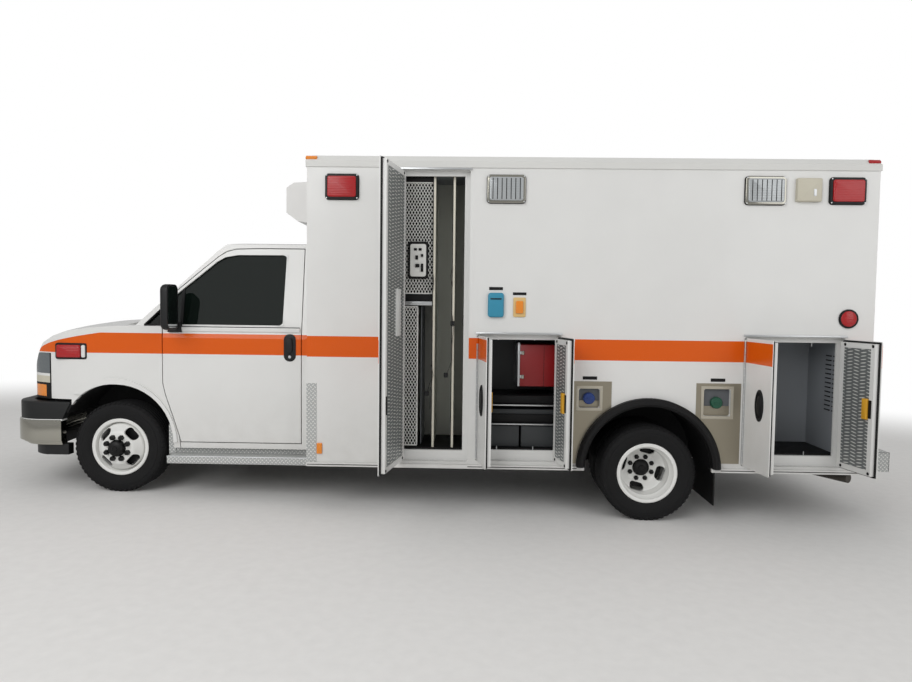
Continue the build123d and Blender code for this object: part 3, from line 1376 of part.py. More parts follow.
# centre y, centre z, width, height
END_LAMP_Y = MODULE_HALF - 259.0
END_LAMPS = [(y, LAMP_ROW_Z - 23, 240, 180) for y in (-END_LAMP_Y, END_LAMP_Y)]
REAR_LAMPS = END_LAMPS + [(y, 1180, 160, 420) for y in (-END_LAMP_Y, END_LAMP_Y)]
with BuildPart() as front_lamps:
    with BuildSketch(cross_plane(MODULE_FRONT_X)):
        for y, z, width, height in END_LAMPS:
            with Locations((y, z)):
                RectangleRounded(width, height, 24)
    extrude(amount=-LAMP_PROUD)
with BuildPart() as rear_lamps:
    with BuildSketch(cross_plane(MODULE_REAR_X)):
        for y, z, width, height in REAR_LAMPS:
            with Locations((y, z)):
                RectangleRounded(width, height, 24)
    extrude(amount=LAMP_PROUD)
# Warning lamp on the fender: low and high x, low and high z
FENDER_LAMP = (-468.0, -239.0, 1132.0, 1236.0)
FENDER_LAMP_ROOT = 100.0
with BuildPart() as fender_lamp:
    with BuildSketch(side_plane(-CAB_HALF + FENDER_LAMP_ROOT)):
        with Locations(
            ((FENDER_LAMP[0] + FENDER_LAMP[1]) / 2, (FENDER_LAMP[2] + FENDER_LAMP[3]) / 2)
        ):
            RectangleRounded(FENDER_LAMP[1] - FENDER_LAMP[0], FENDER_LAMP[3] - FENDER_LAMP[2], 20)
    extrude(amount=FENDER_LAMP_ROOT + 24)
    add(nose_shell.part, mode=Mode.SUBTRACT)
lamps = headlamps + [fender_lamp.part, fender_lamp.part.mirror(Plane.XZ)]
lamps += [side_lamps.part, side_lamps.part.mirror(Plane.XZ), front_lamps.part, rear_lamps.part]
pieces["lamps"] = Compound(children=lamps)

# Seats, dashboard and steering wheel of the cab
SEAT_Y = CAB_HALF - 570.0
DASH_HALF = CAB_HALF - 100.0
with BuildPart() as cab_interior:
    for side in (-1, 1):
        with BuildSketch(side_plane(side * SEAT_Y + 250)):
            outline(
                [
                    (840, CAB_FLOOR_Z),
                    (1280, CAB_FLOOR_Z),
                    (1300, 960),
                    (1450, 1640),
                    (1360, 1660),
                    (1220, 1100),
                    (790, 1080),
                    (780, 980),
                    (840, 940),
                ]
            )
        extrude(amount=500)
    with BuildSketch(side_plane(DASH_HALF)):
        outline([(520, 1000), (700, 1020), (690, 1200), (560, 1330), (520, 1330)])
    extrude(amount=2 * DASH_HALF)
    with BuildSketch(Plane(origin=(780, -SEAT_Y, 1240), z_dir=(0.9, 0, 0.5))):
        Circle(190)
        Circle(165, mode=Mode.SUBTRACT)
        Rectangle(340, 40)
        Circle(45)
    extrude(amount=26)
    with BuildSketch(Plane(origin=(680, -SEAT_Y, 1185), z_dir=(0.9, 0, 0.5))):
        Circle(35)
    extrude(amount=120)
pieces["cab_interior"] = cab_interior.part

for label, piece in pieces.items():
    finished = standing(piece)
    finished.label = label
    export_step(finished, f"parts/{label}.step")
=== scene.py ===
"""Looks of a box-bodied ambulance on a cutaway van cab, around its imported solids.

Sizes are in metres in the body frame: X to the rear from above the front axle, Y to the
curb side from the centre line, Z up from the ground under the rear wheels. The body stands
a little nose-down, so every piece is put in its place by the stance at the end.
"""

import logging
from collections.abc import Iterable, Sequence
from dataclasses import dataclass, field
from enum import Enum
from math import atan2, cos, pi, radians, sin

import bmesh
import bpy
from mathutils import Matrix, Vector


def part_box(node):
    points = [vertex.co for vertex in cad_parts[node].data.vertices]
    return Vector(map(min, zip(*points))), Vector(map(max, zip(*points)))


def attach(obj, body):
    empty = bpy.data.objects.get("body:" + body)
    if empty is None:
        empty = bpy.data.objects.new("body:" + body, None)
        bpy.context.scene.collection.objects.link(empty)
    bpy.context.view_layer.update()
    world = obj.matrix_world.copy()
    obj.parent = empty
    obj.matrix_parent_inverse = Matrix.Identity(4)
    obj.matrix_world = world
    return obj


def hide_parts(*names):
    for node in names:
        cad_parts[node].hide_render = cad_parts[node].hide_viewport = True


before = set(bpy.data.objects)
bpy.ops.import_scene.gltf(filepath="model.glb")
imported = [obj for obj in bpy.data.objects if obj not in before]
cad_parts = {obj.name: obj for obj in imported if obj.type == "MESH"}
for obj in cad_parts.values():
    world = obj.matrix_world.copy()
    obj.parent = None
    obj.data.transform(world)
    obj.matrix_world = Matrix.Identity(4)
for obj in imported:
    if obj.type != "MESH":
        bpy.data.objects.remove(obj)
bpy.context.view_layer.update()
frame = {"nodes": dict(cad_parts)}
LOG = logging.getLogger("ambulance")

Point = tuple[float, float, float]
Flat = tuple[float, float]
Colour = tuple[float, float, float, float]
Socket = bpy.types.NodeSocket
Tree = bpy.types.NodeTree

# Stance: the body frame turned nose-down by the rake and moved to the shared origin
AXLE_RISE = 0.0888
WHEELBASE = 4.038
FRONT_AXLE = (0.009, 0.4408)
REAR_AXLE = (4.047, 0.352)
RAKE = atan2(AXLE_RISE, WHEELBASE)
TYRE_RADIUS = 0.352
ORIGIN = (2.550, 0.234)
STAND_Z = TYRE_RADIUS - (REAR_AXLE[0] * sin(RAKE) + REAR_AXLE[1] * cos(RAKE))
STANCE = Matrix.Translation((-ORIGIN[0], ORIGIN[1], STAND_Z)) @ Matrix.Rotation(-RAKE, 4, "Y")
MIRROR = Matrix.Diagonal((1.0, -1.0, 1.0, 1.0))

# Front and rear faces of the module, and its skin on the street side
MODULE_FRONT = 1.528
MODULE_REAR = 5.642
SIDE = -1.219
# An edge that turns more than this is shaded sharp
SHARP = radians(32)
WHITE_LIGHT = (1.0, 1.0, 1.0, 1.0)


class Facing(Enum):
    """Side of the vehicle that a flat outline looks to, with its own across, up and out."""

    STREET = ((1, 0, 0), (0, 0, 1), (0, -1, 0))
    CURB = ((1, 0, 0), (0, 0, 1), (0, 1, 0))
    REAR = ((0, 1, 0), (0, 0, 1), (1, 0, 0))
    FRONT = ((0, 1, 0), (0, 0, 1), (-1, 0, 0))
    TOP = ((1, 0, 0), (0, 1, 0), (0, 0, 1))

    def matrix(self) -> Matrix:
        """Turn from across, up and out to the body frame."""
        return Matrix(self.value).transposed().to_4x4()


class Pattern(Enum):
    """Surface detail that a finish carries."""

    PEEL = "peel"
    BRUSHED = "brushed"
    TREAD = "tread"
    GRAIN = "grain"
    CAST = "cast"
    RIBS = "ribs"
    CLEAR = "clear"


def hue(code: str) -> Colour:
    """Linear colour of an sRGB hex code.

    Args:
        code: Six hex digits.

    Returns:
        Red, green, blue and alpha, each from 0 to 1.
    """
    parts = [int(code[i : i + 2], 16) / 255 for i in (0, 2, 4)]
    linear = [c / 12.92 if c <= 0.04045 else ((c + 0.055) / 1.055) ** 2.4 for c in parts]
    return (*linear, 1.0)


def arc(start: Flat, middle: Flat, end: Flat, steps: int = 6) -> list[Flat]:
    """Points on the arc that runs through three points, both ends included.

    Args:
        start: First point.
        middle: Point passed on the way.
        end: Last point.
        steps: Number of chords.

    Returns:
        The points.
    """
    a, b, c = (Vector(p) for p in (start, middle, end))
    double = 2 * (a.x * (b.y - c.y) + b.x * (c.y - a.y) + c.x * (a.y - b.y))
    squares = (a.length_squared, b.length_squared, c.length_squared)
    across = squares[0] * (b.y - c.y) + squares[1] * (c.y - a.y) + squares[2] * (a.y - b.y)
    up = squares[0] * (c.x - b.x) + squares[1] * (a.x - c.x) + squares[2] * (b.x - a.x)
    centre = Vector((across / double, up / double))
    first = atan2(a.y - centre.y, a.x - centre.x)
    sweep = (atan2(c.y - centre.y, c.x - centre.x) - first) % (2 * pi)
    part = (atan2(b.y - centre.y, b.x - centre.x) - first) % (2 * pi)
    if part > sweep:
        sweep -= 2 * pi
    radius = (a - centre).length
    angles = [first + sweep * step / steps for step in range(steps + 1)]
    return [(centre.x + radius * cos(t), centre.y + radius * sin(t)) for t in angles]


def add(tree: Tree, kind: str, inputs: dict | None = None, **settings) -> bpy.types.Node:
    """Adds one node to a tree.

    Args:
        tree: Tree that gets the node.
        kind: Blender's name of the node's type.
        inputs: Socket or constant for each input, by its name or number.
        **settings: Values of the node's own properties.

    Returns:
        The new node.
    """
    node = tree.nodes.new(kind)
    for key, value in settings.items():
        setattr(node, key, value)
    for key, value in (inputs or {}).items():
        if isinstance(value, Socket):
            tree.links.new(value, node.inputs[key])
        else:
            node.inputs[key].default_value = value
    return node


def maths(tree: Tree, operation: str, *values: Socket | float, **settings) -> Socket:
    """Result of one operation on sockets and constants."""
    inputs = dict(enumerate(values))
    return add(tree, "ShaderNodeMath", inputs, operation=operation, **settings).outputs[0]


def spread(tree: Tree, value: Socket, old: Flat, new: Flat = (0.0, 1.0), **settings) -> Socket:
    """Value carried from an old range to a new one, and held at its ends."""
    ramp = {0: value, 1: old[0], 2: old[1], 3: new[0], 4: new[1]}
    return add(tree, "ShaderNodeMapRange", ramp, **settings).outputs[0]


def blend(tree: Tree, factor: Socket, first: Socket | Colour, last: Socket | Colour) -> Socket:
    """Mix of two colours."""
    inputs = {"Factor": factor, 6: first, 7: last}
    return add(tree, "ShaderNodeMix", inputs, data_type="RGBA").outputs[2]


def noise(tree: Tree, at: Socket, scale: float, detail: float) -> Socket:
    """Cloudy values from 0 to 1."""
    spots = {"Vector": at, "Scale": scale, "Detail": detail}
    return add(tree, "ShaderNodeTexNoise", spots).outputs["Fac"]


def blank_tree(owner: bpy.types.Material | bpy.types.World) -> Tree:
    """Empty node tree of a material or a world."""
    owner.use_nodes = True
    owner.node_tree.nodes.clear()
    return owner.node_tree


def linked(name: str, data: bpy.types.ID) -> bpy.types.Object:
    """New object that holds the data, linked to the scene."""
    piece = bpy.data.objects.new(name, data)
    bpy.context.scene.collection.objects.link(piece)
    return piece


def soften(
    part: bmesh.types.BMesh, geom: list, offset: float, segments: int, affect: str = "EDGES"
) -> None:
    """Rounds edges or corners of a part."""
    bmesh.ops.bevel(
        part, geom=geom, offset=offset, segments=segments, profile=0.5, affect=affect, material=-1
    )


def spanned(start: Point | Vector, end: Point | Vector) -> tuple[float, Matrix]:
    """Length of the run between two points, and the move that lays Z along it from its middle."""
    run = Vector(end) - Vector(start)
    middle = (Vector(start) + Vector(end)) / 2
    return run.length, Matrix.Translation(middle) @ run.to_track_quat("Z", "Y").to_matrix().to_4x4()


def mirrored(points: Iterable[Flat]) -> list[Flat]:
    """Points of an outline from above on the other side, in the opposite order."""
    return [(x, -y) for x, y in reversed(list(points))]


def corners(u0: float, v0: float, u1: float, v1: float) -> list[Flat]:
    """The four corners of a rectangle."""
    return [(u0, v0), (u1, v0), (u1, v1), (u0, v1)]


@dataclass(frozen=True)
class Finish:
    """A surface: its colours, its shine, and one pattern at a real size in millimetres."""

    name: str
    colour: str
    roughness: float
    pattern: Pattern = Pattern.GRAIN
    size_mm: float = 2.0
    depth_mm: float = 0.1
    shade: str = ""
    metallic: float = 0.0
    ior: float = 1.5
    coat: float = 0.0
    clear: float = 0.0
    specular: float = 0.5
    across: Facing = Facing.STREET
    place: Matrix = field(default_factory=lambda: STANCE.copy())

    def coordinates(self, tree: Tree) -> Socket:
        """Object coordinates brought back to the body frame, in metres."""
        back = self.place.inverted()
        spot = add(tree, "ShaderNodeTexCoord").outputs["Object"]
        turn = {"Vector": spot, "Location": back.to_translation(), "Rotation": back.to_euler()}
        return add(tree, "ShaderNodeMapping", turn).outputs[0]

    def height(self, tree: Tree, at: Socket) -> Socket:
        """Height of the pattern, from 0 to 1.

        Args:
            tree: Tree of the material.
            at: Body frame coordinates.

        Returns:
            Socket of the height.
        """
        scale = 1000 / self.size_mm
        if self.pattern is Pattern.TREAD:
            return self.lozenges(tree, at)
        if self.pattern is Pattern.RIBS:
            # At scale 1 the bands lie about 0.31 apart, so they come out size_mm apart
            wave = {"Vector": at, "Scale": scale / 6.28 * 2, "Distortion": 0.0}
            return add(tree, "ShaderNodeTexWave", wave, bands_direction="Z").outputs["Fac"]
        stretch = (1, 1, 1)
        if self.pattern is Pattern.BRUSHED:
            stretch = (1, 0.06, 1) if self.across is Facing.TOP else (0.06, 1, 1)
        pulled = add(tree, "ShaderNodeVectorMath", {0: at, 1: stretch}, operation="MULTIPLY")
        detail = 4.0 if self.pattern in (Pattern.CAST, Pattern.BRUSHED) else 1.5
        return noise(tree, pulled.outputs[0], scale, detail)

    def lozenges(self, tree: Tree, at: Socket) -> Socket:
        """Raised lozenges of tread plate, two slants in turn."""
        axes = {Facing.TOP: ("X", "Y"), Facing.REAR: ("Y", "Z")}.get(self.across, ("X", "Z"))
        split = add(tree, "ShaderNodeSeparateXYZ", {0: at}).outputs
        slants = []
        for slant, shift in ((1, 0.0), (-1, 0.5)):
            local = []
            for axis in axes:
                cell = maths(tree, "MULTIPLY_ADD", split[axis], 1000 / self.size_mm, shift)
                local.append(maths(tree, "SUBTRACT", maths(tree, "FRACT", cell), 0.5))
            # Square of the distance from the lozenge's middle: long one way, short the other
            near: Socket | float = 0.0
            for weight_u, weight_v in ((2.1, 2.1 * slant), (5.2, -5.2 * slant)):
                first = maths(tree, "MULTIPLY", local[0], weight_u)
                run = maths(tree, "MULTIPLY_ADD", local[1], weight_v, first)
                near = maths(tree, "MULTIPLY_ADD", run, run, near)
            slants.append(maths(tree, "SUBTRACT", 1.0, near, use_clamp=True))
        return maths(tree, "MAXIMUM", *slants)

    def colour_at(self, tree: Tree, at: Socket, high: Socket) -> Socket:
        """Colour with a broad, faint variation, and the shade colour painted into the hollows as
        painted shade.
        """
        vary = spread(tree, noise(tree, at, 3.0, 4.0), (0.35, 0.7), (0.0, 0.10))
        dark = (*(c * 0.72 for c in hue(self.colour)[:3]), 1.0)
        tone = blend(tree, vary, hue(self.colour), dark)
        if self.shade:
            low = spread(tree, high, (0.15, 0.55), (1.0, 0.0))
            tone = blend(tree, low, tone, hue(self.shade))
        return tone

    def material(self) -> bpy.types.Material:
        """Blender's material for this finish, made once for each name.

        Returns:
            The material.
        """
        if self.name in bpy.data.materials:
            return bpy.data.materials[self.name]
        skin = bpy.data.materials.new(self.name)
        tree = blank_tree(skin)
        at = self.coordinates(tree)
        high = self.height(tree, at)
        shine = (self.roughness * 0.85, min(1.0, self.roughness * 1.15))
        relief = {"Height": high, "Distance": self.depth_mm / 1000, "Strength": 1.0}
        shader = {
            "Base Color": self.colour_at(tree, at, high),
            "Roughness": spread(tree, high, (0.2, 0.8), shine),
            "Normal": add(tree, "ShaderNodeBump", relief).outputs[0],
            "Metallic": self.metallic,
            "IOR": self.ior,
            "Coat Weight": self.coat,
            "Specular IOR Level": self.specular,
            "Transmission Weight": self.clear,
        }
        surface = add(tree, "ShaderNodeBsdfPrincipled", shader)
        add(tree, "ShaderNodeOutputMaterial", {"Surface": surface.outputs[0]})
        return skin


@dataclass(frozen=True)
class StripedPaint(Finish):
    """Gloss white body enamel with the orange belt band on its outer skin.

    The band lies between two heights. On the nose it narrows to the front.
    """

    band: str = "D85A0A"
    film: str = "8C857A"
    band_low: float = 1.185
    band_high: float = 1.338
    skin: float = 1.2165
    rear: float = 9.0
    taper: bool = False
    taper_run: Flat = (-0.660, -0.128)
    taper_low: float = 1.18
    taper_power: float = 0.525

    def colour_at(self, tree: Tree, at: Socket, high: Socket) -> Socket:
        """White with faint road film low down, and the band between its two heights."""
        tone = super().colour_at(tree, at, high)
        split = add(tree, "ShaderNodeSeparateXYZ", {0: at}).outputs
        fade = spread(tree, split["Z"], (0.95, 0.35), (0.0, 0.30))
        soil = maths(tree, "MULTIPLY", fade, noise(tree, at, 9.0, 6.0))
        tone = blend(tree, soil, tone, hue(self.film))
        top: Socket | float = self.band_high
        if self.taper:
            curve = maths(tree, "POWER", spread(tree, split["X"], self.taper_run), self.taper_power)
            rise = self.band_high - self.taper_low
            top = maths(tree, "MULTIPLY_ADD", curve, rise, self.taper_low)
        above = maths(tree, "GREATER_THAN", split["Z"], self.band_low)
        inside = maths(tree, "MULTIPLY", above, maths(tree, "LESS_THAN", split["Z"], top))
        outer = maths(tree, "GREATER_THAN", maths(tree, "ABSOLUTE", split["Y"]), self.skin)
        behind = maths(tree, "GREATER_THAN", split["X"], self.rear)
        where = maths(tree, "MULTIPLY", inside, maths(tree, "MAXIMUM", outer, behind))
        return blend(tree, where, tone, hue(self.band))


@dataclass(frozen=True)
class LinerCoat(Finish):
    """Grey powder coat of the compartments, whose mouth frames are white."""

    mouth: float = 1.128
    frame: str = "DEDEDC"

    def colour_at(self, tree: Tree, at: Socket, high: Socket) -> Socket:
        """Grey inside, white on the frame round the mouth."""
        across = add(tree, "ShaderNodeSeparateXYZ", {0: at}).outputs["Y"]
        near = maths(tree, "GREATER_THAN", maths(tree, "ABSOLUTE", across), self.mouth)
        return blend(tree, near, super().colour_at(tree, at, high), hue(self.frame))


# Gloss white enamel, sprayed: faint orange peel and soft reflections
ENAMEL = dict(
    colour="DEDEDC", roughness=0.25, pattern=Pattern.PEEL, size_mm=5.0, depth_mm=0.05, coat=0.1,
    specular=0.3,
)
CAB_BAND = dict(band_low=1.175, band_high=1.333)
MODULE_PAINT = StripedPaint("module_enamel", rear=5.640, **ENAMEL)
CAB_PAINT = StripedPaint("cab_enamel", skin=0.955, **CAB_BAND, **ENAMEL)
NOSE_PAINT = StripedPaint("nose_enamel", skin=0.80, taper=True, **CAB_BAND, **ENAMEL)
WHITE_PAINT = Finish("white_enamel", **ENAMEL)
# Roof enamel, dulled by weather and dust
ROOF_PAINT = Finish("roof_enamel", "D6D6D3", 0.62, Pattern.PEEL, 6.0, 0.05, specular=0.12)
# Powder coat inside the compartments, slightly pebbled: mid grey, darkened as painted shade; its
# near black copy is painted shade, its pale copy painted light
LINER_GREY = LinerCoat("powder_coat_grey", "8C9095", 0.5, Pattern.GRAIN, 1.5, 0.12)
LINER_PAINTED_SHADE = Finish("powder_coat_painted_shade", "3A3C3D", 0.5, Pattern.GRAIN, 1.5, 0.12)
LINER_PAINTED_LIGHT = Finish("powder_coat_painted_light", "C9CAC2", 0.5, Pattern.GRAIN, 1.5, 0.12)
# Rolled aluminium tread plate: raised lozenges 30 mm apart, the hollows darkened as painted shade;
# finer on the doors, with darker painted shade
TREAD = dict(
    colour="E4E4E0", roughness=0.42, pattern=Pattern.TREAD, size_mm=30.0, depth_mm=1.2,
    shade="ACAEAD", metallic=0.12,
)
TREAD_STREET = Finish("tread_plate_side", **TREAD)
TREAD_TOP = Finish("tread_plate_top", across=Facing.TOP, **TREAD)
TREAD_REAR = Finish("tread_plate_rear", across=Facing.REAR, **TREAD)
TREAD_DOOR = Finish("tread_plate_door", "DEDEDA", 0.42, Pattern.TREAD, 24.0, 1.2, "6C7070", 0.15)
# Extruded aluminium with its mill finish: fine lines along the length
ALUMINIUM = Finish("mill_aluminium", "C4C6C7", 0.35, Pattern.BRUSHED, 1.5, 0.03, metallic=0.9)
# Brushed stainless steel sheet, warm from what it mirrors, and the paler edge of its recesses
STAINLESS = Finish("brushed_stainless", "9A9383", 0.34, Pattern.BRUSHED, 2.0, 0.03, metallic=0.85)
FRAME_STEEL = Finish("recess_frame", "B9B3A4", 0.4, Pattern.BRUSHED, 1.5, 0.03, metallic=0.5)
# Expanded steel mesh, painted nearly white
SCREEN_STEEL = Finish("expanded_steel", "E6E6E2", 0.5, Pattern.CAST, 3.0, 0.05)
# Chrome plated steel: clear reflections, over a colour darkened and warmed as a painted reflection
# of the surroundings
CHROME = Finish("chrome_plate", "A6A49B", 0.12, Pattern.PEEL, 8.0, 0.02, metallic=1.0)
# Steel wheel, sprayed white, a little chalky from brake dust
WHEEL_WHITE = Finish("wheel_enamel", "E4E4E1", 0.4, Pattern.PEEL, 6.0, 0.08, coat=0.1)
# Hub cap and wheel nuts, painted black over rough castings
HUB_BLACK = Finish("hub_paint", "0A0A0B", 0.45, Pattern.CAST, 5.0, 0.3, specular=0.3)
# Chassis black: satin paint over welded steel, with dust
CHASSIS_BLACK = Finish("chassis_paint", "111112", 0.65, Pattern.CAST, 8.0, 0.4, specular=0.3)
# Bare cast iron of engine, axle and knuckles
CAST_IRON = Finish("cast_iron", "3A3835", 0.65, Pattern.CAST, 5.0, 0.6, metallic=0.4)
# Aluminised steel of the exhaust, stained by heat
PIPE_STEEL = Finish("aluminised_steel", "4E4A45", 0.5, Pattern.CAST, 10.0, 0.2, metallic=0.7)
# Vulcanised tyre rubber, greyed by dust
TYRE_RUBBER = Finish("tyre_rubber", "131314", 0.8, Pattern.GRAIN, 1.2, 0.15, specular=0.3)
# Extruded rubber for seals, flares, flaps and mats
SEAL_RUBBER = Finish("seal_rubber", "0B0B0C", 0.6, Pattern.GRAIN, 2.0, 0.08, specular=0.3)
# Injection moulded plastic with a fine leather grain
BLACK_PLASTIC = Finish("grained_plastic", "161718", 0.5, Pattern.GRAIN, 1.2, 0.12, specular=0.35)
# Toughened glass, tinted grey
TINTED = Finish(
    "tinted_glass", "121B17", 0.03, Pattern.CLEAR, 400.0, 0.0, ior=1.22, clear=0.35, specular=0.16
)
# Silvered mirror glass
MIRROR_GLASS = Finish("silvered_glass", "C9CCCD", 0.03, Pattern.CLEAR, 400.0, 0.0, metallic=1.0)
# Polycarbonate lenses with moulded ribs
LENS_RED = Finish("red_lens", "A80F15", 0.22, Pattern.RIBS, 12.0, 0.8, coat=0.15)
LENS_CLEAR = Finish("clear_lens", "AEB2B4", 0.2, Pattern.RIBS, 12.0, 0.8, coat=0.4, metallic=0.3)
LENS_HEAD = Finish("head_lens", "6C7275", 0.12, Pattern.RIBS, 14.0, 0.8, coat=0.3, metallic=0.4)
LENS_AMBER = Finish("amber_lens", "E8871A", 0.2, Pattern.RIBS, 10.0, 0.6, coat=0.4)
# Moulded plastics of lamp housings, vent, filler recesses and caps, latches and bins; the grey pan
# in the filler recesses is darkened as painted shade
BEIGE_PLASTIC = Finish("beige_housing", "C4BFAE", 0.45, Pattern.GRAIN, 1.5, 0.08)
AMBER_HOUSING = Finish("amber_housing", "D9B87A", 0.45, Pattern.GRAIN, 1.5, 0.05)
TEAL_PLASTIC = Finish("teal_housing", "2F8AA8", 0.4, Pattern.GRAIN, 1.5, 0.08)
PAN_SHADE = Finish("recess_pan", "5A5D61", 0.5, Pattern.GRAIN, 1.5, 0.1)
CAP_BLUE = Finish("blue_cap", "1C3A7C", 0.35, Pattern.GRAIN, 1.5, 0.05)
CAP_GREEN = Finish("green_cap", "14503A", 0.35, Pattern.GRAIN, 1.5, 0.05)
LATCH_YELLOW = Finish("latch_housing", "D9A12C", 0.4, Pattern.GRAIN, 1.5, 0.05)
BOX_RED = Finish("cooler_red", "8C1216", 0.4, Pattern.GRAIN, 2.0, 0.06)
BIN_GREY = Finish("storage_bin", "35383A", 0.55, Pattern.GRAIN, 2.0, 0.08)
EDGE_BEIGE = Finish("divider_edging", "D9D5C6", 0.45, Pattern.GRAIN, 2.0, 0.05)
# Woven nylon straps
WEBBING = Finish("nylon_webbing", "101012", 0.75, Pattern.BRUSHED, 2.0, 0.3)
# Vinyl of the dashboard and cloth of the seats, the cloth's hollows darkened as painted shade
DASH_VINYL = Finish("dash_vinyl", "3E3D3B", 0.6, Pattern.GRAIN, 2.5, 0.2)
SEAT_CLOTH = Finish("seat_cloth", "6A6864", 0.9, Pattern.BRUSHED, 2.5, 0.4, "55534F")


class Form:
    """A mesh that grows from bmesh operators, in the body frame, in metres."""

    def __init__(self) -> None:
        """Starts empty."""
        self.mesh = bmesh.new()
        self.skins: list[bpy.types.Material] = []

    def absorb(self, part: bmesh.types.BMesh) -> None:
        """Adds a part's mesh to this one, and frees it."""
        data = bpy.data.meshes.new("part")
        part.to_mesh(data)
        part.free()
        self.mesh.from_mesh(data)
        bpy.data.meshes.remove(data)

    def take(
        self, part: bmesh.types.BMesh, finish: Finish, place: Matrix | Facing | None = None
    ) -> None:
        """Adds a finished part, and frees it.

        Args:
            part: Closed shell.
            finish: Its surface.
            place: Where it goes in the body frame, or the side that it looks to.
        """
        skin = finish.material()
        if skin not in self.skins:
            self.skins.append(skin)
        if place is not None:
            part.transform(place.matrix() if isinstance(place, Facing) else place)
        bmesh.ops.recalc_face_normals(part, faces=part.faces)
        for face in part.faces:
            face.material_index = self.skins.index(skin)
        self.absorb(part)

    def block(
        self, low: Point, high: Point, finish: Finish, bevel: float = 0.0,
        turn: Matrix | None = None,
    ) -> None:
        """Block between two corners, with softened edges.

        Args:
            low: Lowest corner.
            high: Highest corner.
            finish: Its surface.
            bevel: Radius of the edges.
            turn: Move made after it stands between its corners.
        """
        size = [b - a for a, b in zip(low, high)]
        middle = [(a + b) / 2 for a, b in zip(low, high)]
        part = bmesh.new()
        bmesh.ops.create_cube(part, size=1.0)
        part.transform(Matrix.Translation(middle) @ Matrix.Diagonal((*size, 1.0)))
        if bevel:
            soften(part, part.edges[:], bevel, 2)
        self.take(part, finish, turn)

    @staticmethod
    def sheet(points: Sequence[Flat], start: float, corner: float) -> bmesh.types.BMesh:
        """Flat face through some corners, which are rounded."""
        part = bmesh.new()
        part.faces.new([part.verts.new((u, v, start)) for u, v in points])
        if corner:
            soften(part, part.verts[:], corner, 4, "VERTICES")
        return part

    @staticmethod
    def push(part: bmesh.types.BMesh, depth: float) -> list[bmesh.types.BMVert]:
        """Pushes a flat part outwards, and gives the vertices of its new front."""
        grown = bmesh.ops.extrude_face_region(part, geom=part.faces[:], use_keep_orig=True)
        moved = [v for v in grown["geom"] if isinstance(v, bmesh.types.BMVert)]
        bmesh.ops.translate(part, verts=moved, vec=(0, 0, depth))
        return moved

    def outline(
        self,
        points: Sequence[Flat],
        start: float,
        depth: float,
        finish: Finish,
        facing: Facing | Matrix = Facing.STREET,
        bevel: float = 0.0,
        corner: float = 0.0,
    ) -> None:
        """Flat outline pushed outwards, with rounded corners and a softened rim.

        Args:
            points: Corners, as across and up.
            start: Distance outwards at which it begins.
            depth: How far it goes.
            finish: Its surface.
            facing: Side that it looks to, or the move from across, up and out to the body frame.
            bevel: Radius of the outer rim.
            corner: Radius of the corners.
        """
        part = self.sheet(points, start, corner)
        moved = self.push(part, depth)
        if bevel:
            soften(part, [e for e in part.edges if all(v in moved for v in e.verts)], bevel, 3)
        self.take(part, finish, facing)

    def rim(
        self,
        points: Sequence[Flat],
        width: float,
        start: float,
        depth: float,
        finish: Finish,
        facing: Facing | Matrix = Facing.STREET,
        corner: float = 0.0,
    ) -> None:
        """Band of one width inside a flat outline; see outline for the other arguments."""
        part = self.sheet(points, start, corner)
        middle = part.faces[:]
        bmesh.ops.inset_region(part, faces=middle, thickness=width, use_even_offset=True)
        bmesh.ops.delete(part, geom=middle, context="FACES")
        self.push(part, depth)
        self.take(part, finish, facing)

    def pad(self, size: Point, finish: Finish, place: Matrix) -> None:
        """Crowned cushion: it swells in the middle, and its sides pull in between the corners.

        Args:
            size: Width, length and thickness.
            finish: Its surface.
            place: Move from its own centre to the body frame.
        """
        part = bmesh.new()
        bmesh.ops.create_cube(part, size=2.0)
        bmesh.ops.subdivide_edges(part, edges=part.edges[:], cuts=13, use_grid_fill=True)
        for vert in part.verts:
            u, v, w = vert.co
            blunt = (abs(u) ** 7 + abs(v) ** 7 + abs(w) ** 5) ** (1 / 7)
            most = max(abs(u), abs(v), abs(w))
            u, v, w = (c * most / max(blunt, most) for c in (u, v, w))
            swell = 0.70 + 0.30 * (1 - u**2) * (1 - v**2)
            seam = 1 - 0.035 * max(0.0, 1 - abs(w) * 6)
            channel = 1 - 0.10 * max(0.0, 1 - abs(abs(u) - 0.62) * 14) * (1 if w > 0 else 0)
            pull_u = 1 - 0.04 * (1 - v**2)
            pull_v = 1 - 0.04 * (1 - u**2)
            scale = (pull_u * seam, pull_v * seam, swell * channel)
            vert.co = [c * s * length / 2 for c, s, length in zip((u, v, w), scale, size)]
        every = {f"use_axis_{axis}": True for axis in "xyz"}
        bmesh.ops.smooth_vert(part, verts=part.verts, factor=0.5, **every)
        self.take(part, finish, place)

    def plate(
        self,
        centre: Flat,
        size: Flat,
        start: float,
        depth: float,
        finish: Finish,
        facing: Facing | Matrix = Facing.STREET,
        bevel: float = 0.0,
        corner: float = 0.0,
    ) -> None:
        """Rectangular plate about a centre; see outline for the other arguments."""
        half_u, half_v = size[0] / 2, size[1] / 2
        u, v = centre
        points = corners(u - half_u, v - half_v, u + half_u, v + half_v)
        self.outline(points, start, depth, finish, facing, bevel, corner)

    def plates(self, facing: Facing, rows: Iterable[tuple]) -> None:
        """Plates on one side; a row gives centre, size, start, depth, finish, bevel and corner."""
        for centre, size, start, depth, finish, *soft in rows:
            self.plate(centre, size, start, depth, finish, facing, *soft)

